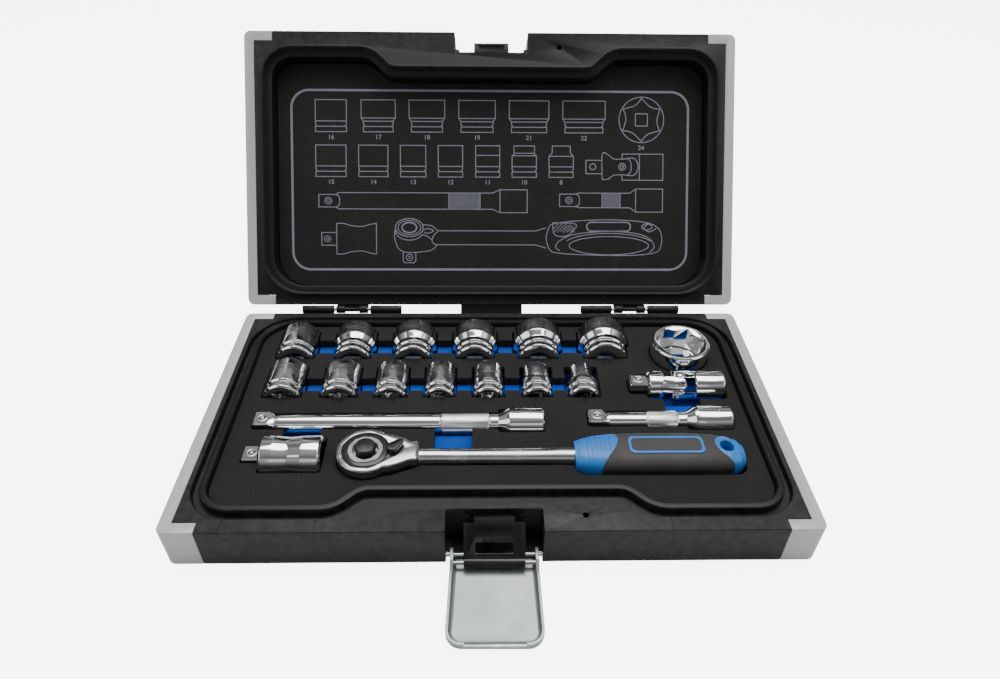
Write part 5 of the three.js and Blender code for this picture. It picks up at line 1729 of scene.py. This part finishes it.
# ---------------------------------------------------------------- stage
class STAGE_OT_studio(bpy.types.Operator):
    """A pale floor, soft lights and the camera"""

    bl_idname = "socket_set.studio"
    bl_label = "Floor, lights and camera"

    def execute(self, context):
        look = context.scene.socket_set_studio
        mesh = bpy.data.meshes.new("Floor")
        size = 6
        mesh.from_pydata(
            [(-size, -size, 0), (size, -size, 0), (size, size, 0), (-size, size, 0)], [], [(0, 1, 2, 3)]
        )
        recipe = Recipe("studio floor", look.floor, 0.6, specular=0.2)
        seen = recipe.tree.nodes.new("ShaderNodeLightPath")
        recipe.tree.links.new(seen.outputs["Is Camera Ray"], recipe.shader.inputs["Emission Color"])
        recipe.shader.inputs["Emission Strength"].default_value = look.floor_glow
        mesh.materials.append(recipe.material)
        floor = bpy.data.objects.new("Floor", mesh)
        context.scene.collection.objects.link(floor)

        world = bpy.data.worlds.new("Studio")
        context.scene.world = world
        world.use_nodes = True
        tree = world.node_tree
        sky = tree.nodes["Background"]
        sky.inputs["Strength"].default_value = look.sky
        where = tree.nodes.new("ShaderNodeTexCoord")
        split = tree.nodes.new("ShaderNodeSeparateXYZ")
        ramp = tree.nodes.new("ShaderNodeValToRGB")
        tree.links.new(where.outputs["Generated"], split.inputs[0])
        tree.links.new(split.outputs["Z"], ramp.inputs[0])
        tree.links.new(ramp.outputs[0], sky.inputs["Color"])
        ramp.color_ramp.elements[0].color = (0.05, 0.055, 0.045, 1)
        ramp.color_ramp.elements[1].color = (1, 1, 1, 1)
        for height, shade in (
            (0.22, (0.1, 0.11, 0.09)), (0.45, (0.5, 0.52, 0.48)), (0.6, (0.9, 0.9, 0.88)),
            (0.8, (0.28, 0.3, 0.28)),
        ):
            ramp.color_ramp.elements.new(height).color = (*shade, 1)

        for name, place, target, size, power in (
            ("Top_Softbox", (0.1, 0.25, 1.1), (0, 0, 0), (1.2, 0.7), look.top_light),
            ("Left_Softbox", (-0.95, -0.35, 0.75), (0, 0, 0.02), (0.8, 0.8), look.side_light),
            ("Right_Softbox", (0.95, -0.3, 0.7), (0, 0, 0.02), (0.6, 0.8), look.side_light * 0.8),
            ("Front_Softbox", (0.0, -1.1, 0.9), (0, 0, 0.02), (1.0, 0.35), look.front_light),
        ):
            lamp = bpy.data.lights.new(name, "AREA")
            lamp.shape = "RECTANGLE"
            lamp.size, lamp.size_y = size
            lamp.energy = power
            light = bpy.data.objects.new(name, lamp)
            light.location = place
            light.rotation_euler = (Vector(target) - Vector(place)).to_track_quat("-Z", "Y").to_euler()
            context.scene.collection.objects.link(light)

        cam = bpy.data.cameras.new("Camera")
        cam.sensor_width = 36
        cam.lens = 26.845
        cam.clip_start, cam.clip_end = 0.01, 50
        obj = bpy.data.objects.new("Camera", cam)
        pitch, yaw, roll = (math.radians(a) for a in (37.717, 1.577, 0.919))
        ahead = Vector((math.sin(yaw) * math.cos(pitch), math.cos(yaw) * math.cos(pitch), -math.sin(pitch)))
        right = Vector((math.cos(yaw), -math.sin(yaw), 0))
        up = right.cross(ahead)
        x = right * math.cos(roll) + up * math.sin(roll)
        y = up * math.cos(roll) - right * math.sin(roll)
        turn = Matrix((x, y, -ahead)).transposed().to_4x4()
        obj.matrix_world = Matrix.Translation(Vector((-4.78, -292.0, 293.5)) * MM) @ turn
        context.scene.collection.objects.link(obj)
        context.scene.camera = obj
        return {"FINISHED"}


# ---------------------------------------------------------------- settings and panel
def colour_prop(name, description, default):
    return bpy.props.FloatVectorProperty(
        name=name, description=description, default=default, size=3, min=0, max=1, subtype="COLOR"
    )


class SocketSetSizes(bpy.types.PropertyGroup):
    """Sizes of the printed marks, in millimetres"""

    foam_number: bpy.props.FloatProperty(
        name="Foam numbers", description="Height of the numbers on the foam, in millimetres", default=6.2,
        min=2, max=10,
    )
    print_number: bpy.props.FloatProperty(
        name="Print numbers", description="Height of the numbers on the lid pad, in millimetres", default=4.0,
        min=2, max=8,
    )
    print_line: bpy.props.FloatProperty(
        name="Print line", description="Width of the printed lines, in millimetres", default=0.55, min=0.2,
        max=2,
    )


class SocketSetColours(bpy.types.PropertyGroup):
    """Base colours of the finishes, linear"""

    shell: colour_prop("Shell", "The moulded case halves", (0.0065, 0.0065, 0.0072))
    trim: colour_prop("Trim", "The silver end trims", (0.5, 0.515, 0.54))
    foam: colour_prop("Dark foam", "The upper foam layer and the lid pad", (0.0165, 0.0158, 0.0155))
    foam_blue: colour_prop("Blue foam", "The lower foam layer", (0.006, 0.062, 0.36))
    lever: colour_prop("Lever", "The pressed latch lever", (0.3, 0.325, 0.33))
    chrome: colour_prop("Chrome", "Polished tools", (0.83, 0.84, 0.85))
    satin: colour_prop("Satin chrome", "The ratchet", (0.5, 0.5, 0.525))
    blue_grip: colour_prop("Blue grip", "The handle's blue ends", (0.02, 0.19, 0.6))
    grey_grip: colour_prop("Grey grip", "The handle's soft grip", (0.05, 0.047, 0.046))
    print_ink: colour_prop("Print ink", "The plan printed on the lid pad", (0.24, 0.24, 0.3))


class SocketSetStudio(bpy.types.PropertyGroup):
    """Floor and lights"""

    floor: colour_prop("Floor", "The studio floor", (0.93, 0.93, 0.93))
    floor_glow: bpy.props.FloatProperty(
        name="Floor glow", description="How much the floor is lifted towards white", default=6.0, min=0,
        max=20,
    )
    sky: bpy.props.FloatProperty(
        name="Sky", description="Brightness of the surrounding light", default=0.42, min=0, max=5
    )
    top_light: bpy.props.FloatProperty(
        name="Top light", description="Power of the softbox above", default=15, min=0, max=200, unit="POWER"
    )
    side_light: bpy.props.FloatProperty(
        name="Side light", description="Power of the softboxes at the sides", default=3, min=0, max=200,
        unit="POWER",
    )
    front_light: bpy.props.FloatProperty(
        name="Front light", description="Power of the softbox in front", default=0.4, min=0, max=200,
        unit="POWER",
    )


OPERATORS = (
    STAGE_OT_studio,
    BASE_OT_shell,
    BASE_OT_trims,
    LID_OT_shell,
    CASE_OT_pins,
    LATCH_OT_lever,
    LATCH_OT_link,
    FOAM_OT_insert,
    FOAM_OT_numbers,
    FOAM_OT_lid_pad,
    LID_OT_print,
    TOOL_OT_sockets,
    TOOL_OT_bars,
    TOOL_OT_joint,
    TOOL_OT_adaptor,
    RATCHET_OT_head,
    RATCHET_OT_drive,
    RATCHET_OT_handle,
)


class VIEW3D_PT_socket_set(bpy.types.Panel):
    """Lists the settings and the steps that build the set"""

    bl_idname = "VIEW3D_PT_socket_set"
    bl_label = "Socket Wrench Set"
    bl_space_type = "VIEW_3D"
    bl_region_type = "UI"
    bl_category = "Socket Set"

    def draw(self, context):
        layout = self.layout
        for settings in ("socket_set_sizes", "socket_set_colours", "socket_set_studio"):
            group = getattr(context.scene, settings)
            for prop in type(group).__annotations__:
                layout.prop(group, prop)
        for step in OPERATORS:
            layout.operator(step.bl_idname)


CLASSES = (SocketSetSizes, SocketSetColours, SocketSetStudio, *OPERATORS, VIEW3D_PT_socket_set)


def register():
    for cls in CLASSES:
        bpy.utils.register_class(cls)
    bpy.types.Scene.socket_set_sizes = bpy.props.PointerProperty(type=SocketSetSizes)
    bpy.types.Scene.socket_set_colours = bpy.props.PointerProperty(type=SocketSetColours)
    bpy.types.Scene.socket_set_studio = bpy.props.PointerProperty(type=SocketSetStudio)


def unregister():
    del bpy.types.Scene.socket_set_sizes
    del bpy.types.Scene.socket_set_colours
    del bpy.types.Scene.socket_set_studio
    for cls in reversed(CLASSES):
        bpy.utils.unregister_class(cls)


def main():
    register()
    make_finishes(bpy.context.scene.socket_set_colours)
    for step in OPERATORS:
        area, name = step.bl_idname.split(".")
        getattr(getattr(bpy.ops, area), name)()


if __name__ == "__main__":
    main()
